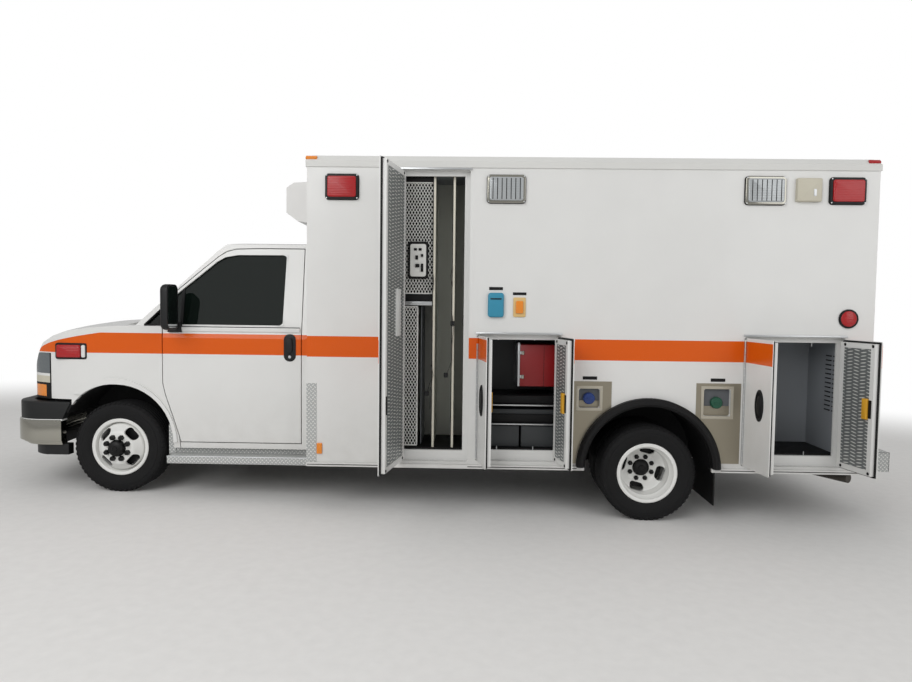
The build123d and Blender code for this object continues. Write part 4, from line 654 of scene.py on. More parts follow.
    def lathe(
        self,
        profile: Sequence[Flat],
        centre: Point,
        finish: Finish,
        steps: int = 48,
        facing: Facing = Facing.STREET,
    ) -> None:
        """Turned form: a profile of radius and distance outwards, spun round its axis.

        Args:
            profile: Radius and distance outwards of each point.
            centre: Point on the axis at which the distance is zero.
            finish: Its surface.
            steps: Number of faces round it.
            facing: Side that the axis points to.
        """
        part = bmesh.new()
        line = [part.verts.new((r, 0, out)) for r, out in profile]
        edges = [part.edges.new(pair) for pair in zip(line, line[1:])]
        turn = dict(cent=(0, 0, 0), axis=(0, 0, 1), angle=2 * pi, steps=steps)
        bmesh.ops.spin(part, geom=line + edges, use_merge=True, **turn)
        bmesh.ops.remove_doubles(part, verts=part.verts, dist=1e-6)
        self.take(part, finish, Matrix.Translation(centre) @ facing.matrix())

    def rod(
        self, start: Point | Vector, end: Point | Vector, radius: float, finish: Finish,
        sides: int = 12,
    ) -> None:
        """Round bar between two points."""
        length, place = spanned(start, end)
        part = bmesh.new()
        bmesh.ops.create_cone(
            part, cap_ends=True, segments=sides, radius1=radius, radius2=radius, depth=length
        )
        self.take(part, finish, place)

    def clip(self, at: Vector | Point, outwards: Vector | Point) -> None:
        """Cuts off what lies beyond a plane, and closes the cut.

        Args:
            at: Point of the plane.
            outwards: Direction of what is cut off.
        """
        everything = self.mesh.verts[:] + self.mesh.edges[:] + self.mesh.faces[:]
        bmesh.ops.bisect_plane(
            self.mesh, geom=everything, plane_co=at, plane_no=outwards, dist=1e-6, clear_outer=True
        )
        bmesh.ops.holes_fill(self.mesh, edges=self.mesh.edges[:], sides=0)

    def copy(self, finish: Finish) -> "Form":
        """Copy of the form that has another finish all over."""
        twin = Form()
        twin.skins = [finish.material()]
        twin.mesh = self.mesh.copy()
        for face in twin.mesh.faces:
            face.material_index = 0
        return twin

    def carve(self, tool: "Form", operation: str = "DIFFERENCE") -> None:
        """Cuts another form out of this one, or keeps what both hold.

        Args:
            tool: Closed form, used up by the cut.
            operation: DIFFERENCE or INTERSECT.
        """
        holders = []
        for form in (self, tool):
            data = bpy.data.meshes.new("carve")
            form.mesh.to_mesh(data)
            form.mesh.free()
            for skin in form.skins:
                data.materials.append(skin)
            holders.append(linked("carve", data))
        change = holders[0].modifiers.new("carve", "BOOLEAN")
        change.object = holders[1]
        change.operation = operation
        change.solver = "EXACT"
        shaped = bpy.data.meshes.new_from_object(
            holders[0].evaluated_get(bpy.context.evaluated_depsgraph_get())
        )
        self.mesh = bmesh.new()
        self.mesh.from_mesh(shaped)
        spent = [holder.data for holder in holders] + [shaped]
        for holder in holders:
            bpy.data.objects.remove(holder)
        for data in spent:
            bpy.data.meshes.remove(data)

    def join(self, other: "Form") -> None:
        """Adds another form's mesh and surfaces to this one."""
        for skin in other.skins:
            if skin not in self.skins:
                self.skins.append(skin)
        for face in other.mesh.faces:
            face.material_index = self.skins.index(other.skins[face.material_index])
        self.absorb(other.mesh)

    def notch(self, low: Point, high: Point, finish: Finish) -> None:
        """Cuts a block out between two corners."""
        tool = Form()
        tool.block(low, high, finish)
        self.carve(tool)

    def done(
        self,
        name: str,
        body: str,
        slot: str,
        place: Matrix = STANCE,
        replaces: Iterable[str] = (),
        keep: bool = False,
    ) -> bpy.types.Object:
        """Makes the object: in its place and on its body.

        Args:
            name: Name of the piece.
            body: Body that it rides on.
            slot: Not used.
            place: Move from the body frame to the shared frame.
            replaces: Solids that it stands for.
            keep: Whether the form stays for another copy.

        Returns:
            The new object.
        """
        part = self.mesh.copy() if keep else self.mesh
        part.transform(place)
        if place.determinant() < 0:
            bmesh.ops.reverse_faces(part, faces=part.faces)
        for edge in part.edges:
            edge.smooth = len(edge.link_faces) == 2 and edge.calc_face_angle(0.0) < SHARP
        for face in part.faces:
            face.smooth = True
        data = bpy.data.meshes.new(name)
        part.to_mesh(data)
        part.free()
        for skin in self.skins:
            data.materials.append(skin)
        piece = linked(name, data)
        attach(piece, body)
        if replaces:
            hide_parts(*replaces)
        LOG.info("%s: %d faces on %s", name, len(data.polygons), body)
        return piece

    def pair(self, name: str, body: str, slot: str, replaces: Iterable[str] = ()) -> None:
        """Makes the street side piece and its mirror image on the curb side."""
        bodies = (body, body) if "{}" not in body else (body.format("left"), body.format("right"))
        nodes = [(n.format("left"), n.format("right")) for n in replaces]
        self.done(f"{name}_left", bodies[0], slot, STANCE, [n[0] for n in nodes], keep=True)
        both = [n[1] for n in nodes if n[1] != n[0]]
        self.done(f"{name}_right", bodies[1], slot, STANCE @ MIRROR, both)


@dataclass
class Viewpoint:
    """Camera of the reference picture, in the body frame, from its fitted values."""

    position: Point = (2.726592, -6.256189, 1.580821)
    yaw: float = -0.0202
    pitch: float = -0.0529
    roll: float = 0.0118
    focal_px: float = 689.5282
    width_px: float = 912.0
    sensor_mm: float = 36.0

    def build(self) -> None:
        """Sets the camera up and makes it the scene's own."""
        ahead = Vector((sin(self.yaw), cos(self.yaw), 0))
        right = Vector((cos(self.yaw), -sin(self.yaw), 0))
        up = Vector((0, 0, 1))
        tilted = ahead * cos(self.pitch) + up * sin(self.pitch)
        lifted = up * cos(self.pitch) - ahead * sin(self.pitch)
        across = right * cos(self.roll) + lifted * sin(self.roll)
        upright = lifted * cos(self.roll) - right * sin(self.roll)
        turn = Matrix((across, upright, -tilted)).transposed().to_4x4()
        lens = bpy.data.cameras.new("camera")
        lens.sensor_width = self.sensor_mm
        lens.lens = self.sensor_mm * self.focal_px / self.width_px
        lens.clip_end = 200.0
        camera = linked("camera", lens)
        camera.matrix_world = STANCE @ Matrix.Translation(self.position) @ turn
        bpy.context.scene.camera = camera


@dataclass
class Studio:
    """Pale floor, white surroundings and soft lamps."""

    floor_half: float = 30.0
    oval: Point = (0.62, 1.0, 0.0)
    near: float = 4.2
    far: float = 7.5
    sky: float = 0.5
    # name: position, target, size, watts
    lamps: tuple = (
        ("key", (-4.5, -8.5, 6.0), (0.0, 0.0, 1.2), 6.0, 400.0),
        ("fill", (6.5, -7.0, 4.0), (0.5, 0.0, 1.0), 5.0, 120.0),
        ("top", (0.0, 1.0, 8.5), (0.0, 0.0, 0.0), 7.0, 50.0),
        ("back", (2.0, 8.0, 4.5), (0.0, 0.0, 1.2), 6.0, 130.0),
    )

    def shown_rays(self, tree: Tree) -> Socket:
        """One for camera and glass rays, which see the white background."""
        rays = add(tree, "ShaderNodeLightPath").outputs
        return maths(tree, "MAXIMUM", rays["Is Camera Ray"], rays["Is Transmission Ray"])

    def world(self) -> None:
        """White to look at, and a softer white as light."""
        world = bpy.data.worlds.new("studio")
        tree = blank_tree(world)
        level = spread(tree, self.shown_rays(tree), (0.0, 1.0), (self.sky, 1.0))
        light = add(tree, "ShaderNodeBackground", {"Color": WHITE_LIGHT, "Strength": level})
        add(tree, "ShaderNodeOutputWorld", {"Surface": light.outputs[0]})
        bpy.context.scene.world = world

    def floor(self) -> None:
        """Pale concrete that fades to the white of the background away from the vehicle."""
        skin = bpy.data.materials.new("pale_floor")
        tree = blank_tree(skin)
        spot = add(tree, "ShaderNodeTexCoord").outputs["Object"]
        away = add(tree, "ShaderNodeVectorMath", {0: spot, 1: self.oval}, operation="MULTIPLY")
        length = add(tree, "ShaderNodeVectorMath", {0: away.outputs[0]}, operation="LENGTH")
        reach = (self.near, self.far)
        fade = spread(tree, length.outputs["Value"], reach, interpolation_type="SMOOTHSTEP")
        tone = blend(tree, noise(tree, spot, 14.0, 6.0), hue("E9E8E6"), hue("DEDDDB"))
        matt = {"Base Color": tone, "Roughness": 0.9, "Specular IOR Level": 0.2}
        ground = add(tree, "ShaderNodeBsdfPrincipled", matt)
        white = add(tree, "ShaderNodeEmission", {"Color": WHITE_LIGHT, "Strength": 1.0})
        mask = maths(tree, "MULTIPLY", fade, self.shown_rays(tree))
        both = {0: mask, 1: ground.outputs[0], 2: white.outputs[0]}
        surface = add(tree, "ShaderNodeMixShader", both)
        add(tree, "ShaderNodeOutputMaterial", {"Surface": surface.outputs[0]})
        part = bmesh.new()
        bmesh.ops.create_grid(part, x_segments=1, y_segments=1, size=self.floor_half)
        data = bpy.data.meshes.new("floor")
        part.to_mesh(data)
        part.free()
        data.materials.append(skin)
        linked("floor", data)

    def light(self) -> None:
        """Large soft lamps round the vehicle."""
        for name, position, target, size, watts in self.lamps:
            lamp = bpy.data.lights.new(name, "AREA")
            lamp.size = size
            lamp.energy = watts
            turn = (Vector(target) - Vector(position)).to_track_quat("-Z", "Y")
            place = Matrix.Translation(position) @ turn.to_matrix().to_4x4()
            linked(name, lamp).matrix_world = place

    def build(self) -> None:
        """Sets up the view transform, the world, the floor and the lamps."""
        bpy.context.scene.view_settings.view_transform = "Standard"
        self.world()
        self.floor()
        self.light()


@dataclass
class Leaf:
    """One side door leaf: its closed outline, its hinge line and how far it stands open."""

    node: str
    front: float
    rear: float
    low: float
    high: float
    hinge: float
    turn: float
    hinge_y: float = SIDE - 0.006
    curb: bool = False

    def matrix(self) -> Matrix:
        """Move from the closed leaf in the body frame to where it stands."""
        if self.curb:
            return STANCE @ MIRROR
        at = Vector((self.hinge, self.hinge_y, 0))
        swing = Matrix.Rotation(radians(self.turn), 4, "Z")
        return STANCE @ Matrix.Translation(at) @ swing @ Matrix.Translation(-at)

    def paint(self) -> StripedPaint:
        """Body enamel whose band lies on the leaf's own outer skin."""
        return StripedPaint(f"{self.node}_enamel", place=self.matrix(), **ENAMEL)


MID_SPLIT = (2.782 + 3.390) / 2
BAY_SPLIT = (4.724 + 5.440) / 2
LEAVES = (
    Leaf("tall_door", 2.205, 2.712, 0.428, 2.545, 2.205, -100.0),
    Leaf("mid_door_front", 2.782, MID_SPLIT - 0.004, 0.436, 1.357, 2.782, -80.0),
    Leaf("mid_door_rear", MID_SPLIT + 0.004, 3.390, 0.436, 1.357, 3.390, 102.0),
    Leaf("bay_door_front", 4.724, BAY_SPLIT - 0.004, 0.428, 1.362, 4.724, -84.0),
    Leaf("bay_door_rear", BAY_SPLIT + 0.004, 5.440, 0.428, 1.362, 5.440, 101.0),
)


@dataclass
class Bodywork:
    """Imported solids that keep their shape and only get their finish."""

    # finish, and the solids that get it
    finishes: tuple = (
        (MODULE_PAINT, ("module_wall_left", "module_wall_right", "module_wall_rear")),
        (MODULE_PAINT, ("curb_bay_door", "entry_door", "rear_door_left", "rear_door_right")),
        (CAB_PAINT, ("cab_shell", "cab_door_left", "cab_door_right")),
        (WHITE_PAINT, ("module_wall_front", "condenser")),
        (ROOF_PAINT, ("module_roof",)),
        (LINER_GREY, ("compartments",)),
        (TREAD_TOP, ("entry_step",)),
        (SEAL_RUBBER, ("wheel_flares",)),
        (LENS_CLEAR, ("lamps",)),
        (CHASSIS_BLACK, ("module_floor", "wheelhouses", "front_suspension", "fuel_tank")),
        (CHASSIS_BLACK, ("frame_rails", "frame_crossmembers")),
        (CAST_IRON, ("knuckle_left", "knuckle_right", "powertrain", "rear_axle")),
        (PIPE_STEEL, ("exhaust",)),
    )

    def dress(self, node: str, finish: Finish) -> None:
        """Puts one finish on a solid."""
        slots = frame["nodes"][node].data.materials
        slots.clear()
        slots.append(finish.material())

    def build(self) -> None:
        """Dresses every solid."""
        for finish, nodes in self.finishes:
            for node in nodes:
                self.dress(node, finish)
        for node in frame["nodes"]:
            if "tyre" in node:
                self.dress(node, TYRE_RUBBER)
            elif "rim" in node:
                self.dress(node, WHEEL_WHITE)
            elif "glass" in node or node == "windshield":
                self.dress(node, TINTED)
        for leaf in LEAVES:
            self.dress(leaf.node, leaf.paint())
        LOG.info("dressed %d solids", len(frame["nodes"]))


@dataclass
class Wheel:
    """Steel wheels with their dark hubs and nuts, and tyres with grooves and shoulder blocks."""

    radius: float = TYRE_RADIUS
    half: float = 0.1115
    groove: float = 0.009
    grooves: tuple = (0.050, 0.017, -0.017, -0.050)
    blocks: int = 54
    lean: float = 0.75
    nut_circle: float = 0.0875
    nuts: int = 8
    holes: int = 4
    front_y: float = -0.890
    twin_ys: tuple[float, float] = (-1.105, -0.835)
    hub_y: float = -0.970
    # distance outwards of the hub faces: front, outer twin, rear hub
    front_face: float = 0.135
    rear_face: float = -0.120
    hub_face: float = 0.015

    def tyre(self, form: Form, centre: Point) -> None:
        """One tyre about its centre, with its axis across the vehicle."""
        side = [
            (0.204, 0.073), (0.221, 0.082), (0.229, 0.092), (0.240, 0.0985), (0.262, 0.108),
            (0.284, self.half), (0.300, self.half), (0.303, self.half - 0.003), (0.318, 0.1075),
            (0.331, 0.103), (0.341, 0.097), (0.349, 0.089), (self.radius, 0.080),
        ]
        deep = self.radius - self.groove
        tread = []
        for middle in self.grooves:
            groove = ((self.radius, 0.006), (deep, 0.004), (deep, -0.004), (self.radius, -0.006))
            tread += [(r, middle + out) for r, out in groove]
        profile = side + tread + [(r, -out) for r, out in reversed(side)] + [side[0]]
        form.lathe(profile, centre, TYRE_RUBBER, 72)
        for number in range(self.blocks):
            around = 2 * pi * number / self.blocks
            spin = Matrix.Translation(centre) @ Matrix.Rotation(around, 4, "Y")
            for end in (-1, 1):
                low, high = sorted((end * 0.084, end * 0.1045))
                turn = spin @ self.lug(end)
                form.block((-0.011, low, 0.332), (0.011, high, 0.3475), TYRE_RUBBER, 0.0, turn)

    def lug(self, end: int) -> Matrix:
        """Lean of a shoulder block towards the sidewall."""
        pivot = Matrix.Translation((0.0, end * 0.094, 0.340))
        return pivot @ Matrix.Rotation(-end * self.lean, 4, "X") @ pivot.inverted()

    def hub(self, form: Form, centre: Point, face: float) -> None:
        """Dark hub cap and wheel nuts on the hub face.

        Args:
            form: Form that they are added to.
            centre: Centre of the wheel.
            face: Distance outwards of the hub face.
        """
        cap = (
            (0.0, 0.052), (0.020, 0.052), (0.024, 0.046), (0.038, 0.044), (0.052, 0.038),
            (0.060, 0.028), (0.066, 0.006), (0.066, -0.004), (0.0, -0.004),
        )
        nut = (
            (0.0, 0.032), (0.011, 0.032), (0.0185, 0.025), (0.0195, 0.006), (0.0225, 0.001),
            (0.0225, -0.002), (0.0, -0.002),
        )
        form.lathe([(r, face + out) for r, out in cap], centre, HUB_BLACK, 32)
        for number in range(self.nuts):
            angle = 2 * pi * (number + 0.5) / self.nuts
            along, up = self.nut_circle * cos(angle), self.nut_circle * sin(angle)
            spot = (centre[0] + along, centre[1], centre[2] + up)
            form.lathe([(r, face + out) for r, out in nut], spot, HUB_BLACK, 6)

    def steel(self, form: Form, centre: Point, disc: float, first: float) -> None:
        """Steel wheel: a dropped barrel, and a dished disc with four hand holes.

        Args:
            form: Form that it is added to.
            centre: Centre of the wheel.
            disc: Distance outwards of the hub face.
            first: Angle of the first hand hole.
        """
        out = 1 if disc > 0 else -1
        barrel = [
            (0.220, -0.089), (0.220, -0.083), (0.203, -0.077), (0.203, -0.045), (0.185, -0.030),
            (0.185, 0.030), (0.203, 0.045), (0.203, 0.077), (0.221, 0.083), (0.2225, 0.089),
            (0.216, 0.093), (0.197, 0.089), (0.194, 0.060), (0.176, 0.034), (0.176, -0.034),
            (0.194, -0.089), (0.220, -0.089),
        ]
        form.lathe(barrel, centre, WHEEL_WHITE, 56)
        # radius, and distance inwards from the hub face
        face = (
            (0.180, 0.062), (0.172, 0.050), (0.160, 0.042), (0.140, 0.016), (0.126, 0.004),
            (0.118, 0.0), (0.050, 0.0), (0.050, 0.014), (0.114, 0.014), (0.122, 0.019),
            (0.134, 0.030), (0.152, 0.055), (0.168, 0.066),
        )
        edge = (0.186, out * 0.020)
        dish = [edge, *((r, disc - out * deep) for r, deep in face), (0.176, -out * 0.004), edge]
        plate = Form()
        plate.lathe(dish, (0, 0, 0), WHEEL_WHITE, 56)
        for number in range(self.holes):
            hole = Form()
            start = disc - 0.12
            hole.plate((0.0, 0.144), (0.112, 0.056), start, 0.24, WHEEL_WHITE, corner=0.0275)
            turn = -radians(first + 360 / self.holes * number - 90)
            hole.mesh.transform(Matrix.Rotation(turn, 4, "Y"))
            plate.carve(hole)
        plate.mesh.transform(Matrix.Translation(centre))
        form.join(plate)
        # Black ring behind the disc: the brake drum, painted black as shade seen through the hand
        # holes
        behind = disc - (0.072 if out > 0 else 0.010)
        drum = corners(0.060, behind, 0.158, behind - 0.004)
        form.lathe([*drum, drum[0]], centre, HUB_BLACK, 40)

    def build(self) -> None:
        """Makes the pieces of all four wheels."""
        front = (FRONT_AXLE[0], self.front_y, FRONT_AXLE[1])
        outer, inner = ((REAR_AXLE[0], y, REAR_AXLE[1]) for y in self.twin_ys)
        rim, rims, tyre, twins, hub, back = (Form() for _ in range(6))
        self.steel(rim, front, self.front_face, 47)
        rim.pair("front_wheel_disc", "front_wheel_{}", "wheel_paint", ["front_rim_{}"])
        self.steel(rims, outer, self.rear_face, 75)
        self.steel(rims, inner, -self.rear_face, 75)
        rims.pair("rear_wheel_discs", "rear_wheels_{}", "wheel_paint", ["rear_rims_{}"])
        self.tyre(tyre, front)
        tyre.pair("front_tyre_tread", "front_wheel_{}", "tyre", ["front_tyre_{}"])
        self.tyre(twins, outer)
        self.tyre(twins, inner)
        twins.pair("rear_tyre_treads", "rear_wheels_{}", "tyre", ["rear_tyres_{}"])
        self.hub(hub, front, self.front_face)
        hub.pair("front_hub", "front_wheel_{}", "cast_metal")
        self.hub(back, (REAR_AXLE[0], self.hub_y, REAR_AXLE[1]), self.hub_face)
        back.pair("rear_hub", "rear_wheels_{}", "cast_metal")


@dataclass
class Nose:
    """Hood, fenders, headlamps, grille and bumper; it reaches further ahead than its solids."""

    half: float = 1.000
    wall: float = 0.034
    rear: float = 0.500
    sill: float = 0.446
    # along, up at the sides, rise of the crown at the centre of the stretch that starts there
    top: tuple = (
        (-0.715, 1.010, 0.250), (-0.645, 1.183, 0.150), (-0.608, 1.244, 0.060),
        (-0.508, 1.302, 0.058), (-0.392, 1.343, 0.055), (-0.204, 1.372, 0.045),
        (0.000, 1.387, 0.080), (0.209, 1.388, 0.0),
    )
    facets: int = 12
    tip: float = -0.805
    bow: float = 0.0866
    hood_half: float = 0.800
    hood_rear: float = 0.062
    cowl_half: float = 0.952
    gap: float = 0.007
    lamp_inner: float = 0.610
    lamp_rear: float = -0.538
    lamp_heights: Flat = (0.808, 1.165)
    lens_end: float = -0.549
    signal_end: float = -0.588
    # low, high, finish of the bands of a headlamp
    bands: tuple = (
        (0.800, 0.826, SEAL_RUBBER), (0.826, 0.916, LENS_AMBER), (0.916, 0.934, SEAL_RUBBER),
        (0.934, 0.986, BEIGE_PLASTIC), (0.986, 1.006, WHITE_PAINT), (1.006, 1.170, LENS_HEAD),
    )
    grille_heights: Flat = (0.830, 1.135)
    grille_bars: int = 6
    arch_front: tuple = ((-0.400, 0.700), (-0.200, 0.896), (0.000, 0.934))
    arch_back: tuple = ((0.000, 0.934), (0.284, 0.829), (0.442, 0.490))
    lip_front: tuple = ((-0.430, 0.720), (-0.250, 0.927), (0.000, 0.984))
    lip_back: tuple = ((0.000, 0.984), (0.286, 0.866), (0.470, 0.490))
    door_front: tuple = (
        (0.353, 0.950), (0.373, 0.860), (0.426, 0.702), (0.479, 0.540), (0.492, 0.440),
    )
    # along and up of the room for engine and dashboard
    core: tuple = (
        (0.140, 1.60), (0.140, 1.330), (0.440, 1.000), (0.440, 0.40), (0.60, 0.40), (0.60, 1.60),
    )
    # low, high, inset at the front, inset at the sides, rear end, finish, bevel
    tiers: tuple = (
        (0.372, 0.456, 0.093, 0.030, -0.400, BLACK_PLASTIC, 0.003),
        (0.452, 0.470, 0.025, 0.016, -0.440, CHROME, 0.003),
        (0.468, 0.486, -0.001, 0.008, -0.440, CHROME, 0.003),
        (0.484, 0.647, -0.027, 0.000, -0.440, CHROME, 0.008),
        (0.640, 0.652, -0.015, 0.008, -0.436, WHITE_PAINT, 0.003),
        (0.650, 0.790, -0.021, 0.014, -0.362, BLACK_PLASTIC, 0.012),
    )

    def plan(self, inset: float) -> list[Flat]:
        """Outline from above: flat sides that round into a bowed front."""
        half = self.half - inset
        bow, turn = (-0.533 + inset, half - 0.035), (-0.680 + inset, half - 0.107)
        side = arc((-0.330, half), bow, turn, 8)
        bow, turn = (-0.732 + inset, half - 0.165), (-0.755 + inset, half - 0.240)
        side += arc(side[-1], bow, turn, 5)[1:]
        front = arc(side[-1], (self.tip + inset, 0.0), (-0.755 + inset, 0.240 - half), 14)
        back = self.rear + inset
        return [(back, half)] + side + front[1:-1] + mirrored(side) + [(back, -half)]

    def body(self, inset: float, low: float, finish: Finish) -> Form:
        """Whole form of the nose, drawn in by a wall: its plan under its crowned top.

        Args:
            inset: Distance drawn in.
            low: Height of its foot.
            finish: Its surface.

        Returns:
            The closed form.
        """
        form = Form()
        form.outline(self.plan(inset), low, 1.6 - low, finish, Facing.TOP)
        half = self.half - inset
        for (x0, z0, crown), (x1, z1, _) in zip(self.top, self.top[1:]):
            run = Vector((x1 - x0, 0.0, z1 - z0)).normalized()
            start = Vector((x0 + inset * run.z, 0.0, z0 - inset * run.x))
            line = []
            for step in range(self.facets + 1):
                across = -1 + 2 * step / self.facets
                line.append(start + Vector((0.0, half * across, crown * (1 - across**2))))
            for a, b in zip(line, line[1:]):
                form.clip(a, run.cross(b - a) if run.cross(b - a).z > 0 else (b - a).cross(run))
        return form

    def skin(self, finish: Finish) -> Form:
        """Hollow form of the nose with its wheel arches open."""
        form = self.body(0.0, self.sill, finish)
        form.carve(self.body(self.wall, self.sill - 0.01, finish))
        opening = Form()
        arch = arc(*self.arch_front, 8) + arc(*self.arch_back, 10)[1:]
        opening.outline(arch + [(0.442, 0.40), (-0.400, 0.40)], -1.1, 2.2, finish)
        form.carve(opening)
        return form

    def hood_block(self, margin: float, finish: Finish) -> Form:
        """Region that the hood covers, grown by a margin."""
        block = Form()
        rear = self.hood_rear + margin
        outline = [
            (-0.950, 1.170 - margin), (-0.640, 1.160 - margin), (rear, 1.330 - margin),
            (rear, 1.70), (-0.950, 1.70),
        ]
        half = self.hood_half + margin
        block.outline(outline, -half, 2 * half, finish)
        return block

    def lamp_blocks(self, margin: float, finish: Finish) -> Form:
        """Regions of both headlamps, grown by a margin."""
        block = Form()
        low, high = self.lamp_heights
        for side in (-1, 1):
            y0, y1 = sorted((side * (self.lamp_inner - margin), side * (self.half + 0.02)))
            rear = self.lamp_rear + margin
            block.block((-0.95, y0, low - margin), (rear, y1, high + margin), finish)
        return block

    def fenders(self) -> None:
        """Fenders with their arch lips, liners and the cowl."""
        form = self.skin(NOSE_PAINT)
        form.carve(self.hood_block(self.gap, NOSE_PAINT))
        form.carve(self.lamp_blocks(0.003, NOSE_PAINT))
        # Mouth of the grille, room behind the bumper, and the cowl under the windshield
        mouth = self.lamp_inner - 0.017
        top = self.grille_heights[1] + 0.003
        form.notch((-0.95, -mouth, 0.790), (-0.60, mouth, top), NOSE_PAINT)
        form.notch((-0.95, -1.05, 0.40), (-0.358, 1.05, 0.812), NOSE_PAINT)
        near, far = (self.hood_rear, -self.cowl_half, 1.372), (0.60, self.cowl_half, 1.60)
        form.notch(near, far, NOSE_PAINT)
        doors = ((0.353, 1.60), *self.door_front, (0.60, 0.440), (0.60, 1.60))
        for outline, half in ((self.core, 0.955), (doors, 1.1)):
            tool = Form()
            tool.outline(outline, -half, 2 * half, NOSE_PAINT)
            form.carve(tool)
        lip = arc(*self.lip_front, 10) + arc(*self.lip_back, 12)[1:]
        inner = arc(*self.arch_front, 10) + arc(*self.arch_back, 12)[1:]
        ring = [p for p in lip + inner[::-1] if p[1] > 0.820 or p[0] > 0]
        for start in (0.994, -1.014):
            form.outline(ring, start, 0.020, WHITE_PAINT)
        form.done("fenders", "root", "white_paint", replaces=["front_fenders"])
        lining = Form()
        band = inner + [(x * 1.03, z + 0.018) for x, z in reversed(inner)]
        inside = [p for p in inner if p[1] > 0.60]
        for start, wall in ((0.555, 0.545), (-0.985, -0.555)):
            lining.outline(band, start, 0.430, CHASSIS_BLACK)
            lining.outline(inside, wall, 0.010, CHASSIS_BLACK)
        low = (self.hood_rear + 0.004, -0.940, 1.352)
        lining.block(low, (0.150, 0.940, 1.368), BLACK_PLASTIC, 0.004)
        lining.done("wheelhouse_lining", "root", "chassis_black")

    def hood(self) -> None:
        """Hood on its hinges."""
        form = self.skin(NOSE_PAINT)
        form.carve(self.hood_block(0.0, NOSE_PAINT), "INTERSECT")
        form.done("hood_panel", "hood", "white_paint", replaces=["hood"])

    def headlamps(self) -> None:
        """Headlamps round the corners: lens, trim bands, turn signal and dark surround."""
        whole = self.skin(LENS_CLEAR)
        whole.carve(self.lamp_blocks(0.0, LENS_CLEAR), "INTERSECT")
        whole.carve(self.hood_block(0.003, LENS_CLEAR))
        form = Form()
        for low, high, finish in self.bands:
            band = whole.copy(finish)
            band.clip((0, 0, high), (0, 0, 1))
            band.clip((0, 0, low), (0, 0, -1))
            end = self.lens_end
            if finish is LENS_AMBER:
                end = self.signal_end
                dark = band.copy(SEAL_RUBBER)
                dark.clip((end, 0, 0), (-1, 0, 0))
                dark.clip((self.lens_end, 0, 0), (1, 0, 0))
                form.join(dark)
            band.clip((end, 0, 0), (1, 0, 0))
            form.join(band)
        edge = whole.copy(SEAL_RUBBER)
        edge.clip((self.lens_end, 0, 0), (-1, 0, 0))
        form.join(edge)
        marker = (
            ((-0.3545, 1.186), (0.246, 0.126), 0.950, 0.054, SEAL_RUBBER, 0.004, 0.016),
            ((-0.371, 1.186), (0.186, 0.098), 0.950, 0.068, LENS_RED, 0.010, 0.012),
            ((-0.2575, 1.186), (0.030, 0.096), 0.950, 0.062, WHITE_PAINT, 0.006, 0.010),
        )
        form.plates(Facing.STREET, marker)
        form.plates(Facing.CURB, marker)
        form.done("headlamps", "root", "lamp_lens")

    def strip(self, half: float, out: float, wall: float, steps: int = 10) -> list[Flat]:
        """Outline from above of a bar that follows the bow of the front."""
        spots = [half * (2 * step / steps - 1) for step in range(steps + 1)]
        line = [(self.tip + self.bow * y**2, y) for y in spots]
        return [(x - out, y) for x, y in line] + [(x + wall, y) for x, y in reversed(line)]

    def grille(self) -> None:
        """Dark bars in a frame across the front, and a dark panel down to the bumper."""
        form = Form()
        low, high = self.grille_heights
        half = self.lamp_inner - 0.020
        form.outline(self.strip(half, -0.028, 0.034), low, high - low, SEAL_RUBBER, Facing.TOP)
        form.outline(self.strip(half, -0.050, 0.058), 0.570, low - 0.570, SEAL_RUBBER, Facing.TOP)
        for number in range(self.grille_bars):
            up = low + 0.012 + number * (high - low - 0.030) / (self.grille_bars - 1)
            form.outline(self.strip(half, 0.0, 0.030), up, 0.016, BLACK_PLASTIC, Facing.TOP, 0.003)
        for side in (-1, 1):
            for x, y in self.strip(half - 0.012, 0.0, 0.0)[:11:2]:
                across = side * abs(y)
                start, end = (x, across - 0.005, low), (x + 0.03, across + 0.005, high)
                form.block(start, end, BLACK_PLASTIC, 0.002)
        form.done("grille_bars", "root", "black_plastic", replaces=["grille"])

    def ring(self, front: float, side: float, wall: float, rear: float) -> list[Flat]:
        """Outline from above of one tier of the bumper, hollow behind.

        Args:
            front: Inset at the front.
            side: Inset at the sides.
            wall: Thickness of the tier.
            rear: Place of its rear ends.

        Returns:
            The outline.
        """
        paths = []
        for more in (0.0, wall):
            half = self.half + 0.008 - side - more
            ahead = front + more
            start, end = (-0.620 + ahead / 2, half), (-0.845 + ahead, half - 0.248)
            corner = arc(start, (-0.776 + ahead, half - 0.068), end, 10)
            bow = arc(corner[-1], (-0.890 + ahead, 0.0), (-0.845 + ahead, 0.248 - half), 14)
            paths.append([(rear, half)] + corner + bow[1:-1] + mirrored(corner) + [(rear, -half)])
        return paths[0] + paths[1][::-1]

    def bumper(self) -> None:
        """Chrome bumper with a black pad over it and a dark valance under it."""
        form = Form()
        for low, high, front, side, rear, finish, bevel in self.tiers:
            tier = Form()
            ring = self.ring(front, side, 0.070, rear)
            tier.outline(ring, low, high - low, finish, Facing.TOP, bevel)
            if low == self.tiers[-1][0]:
                # The pad's ends slant up to the wheel arch
                tier.clip((-0.440, 0, low), (0.156, 0, -0.078))
            form.join(tier)
        form.done("bumper", "root", "chrome_bumper", replaces=["front_bumper"])

    def build(self) -> None:
        """Makes every piece of the nose."""
        self.fenders()
        self.hood()
        self.headlamps()
        self.grille()
        self.bumper()


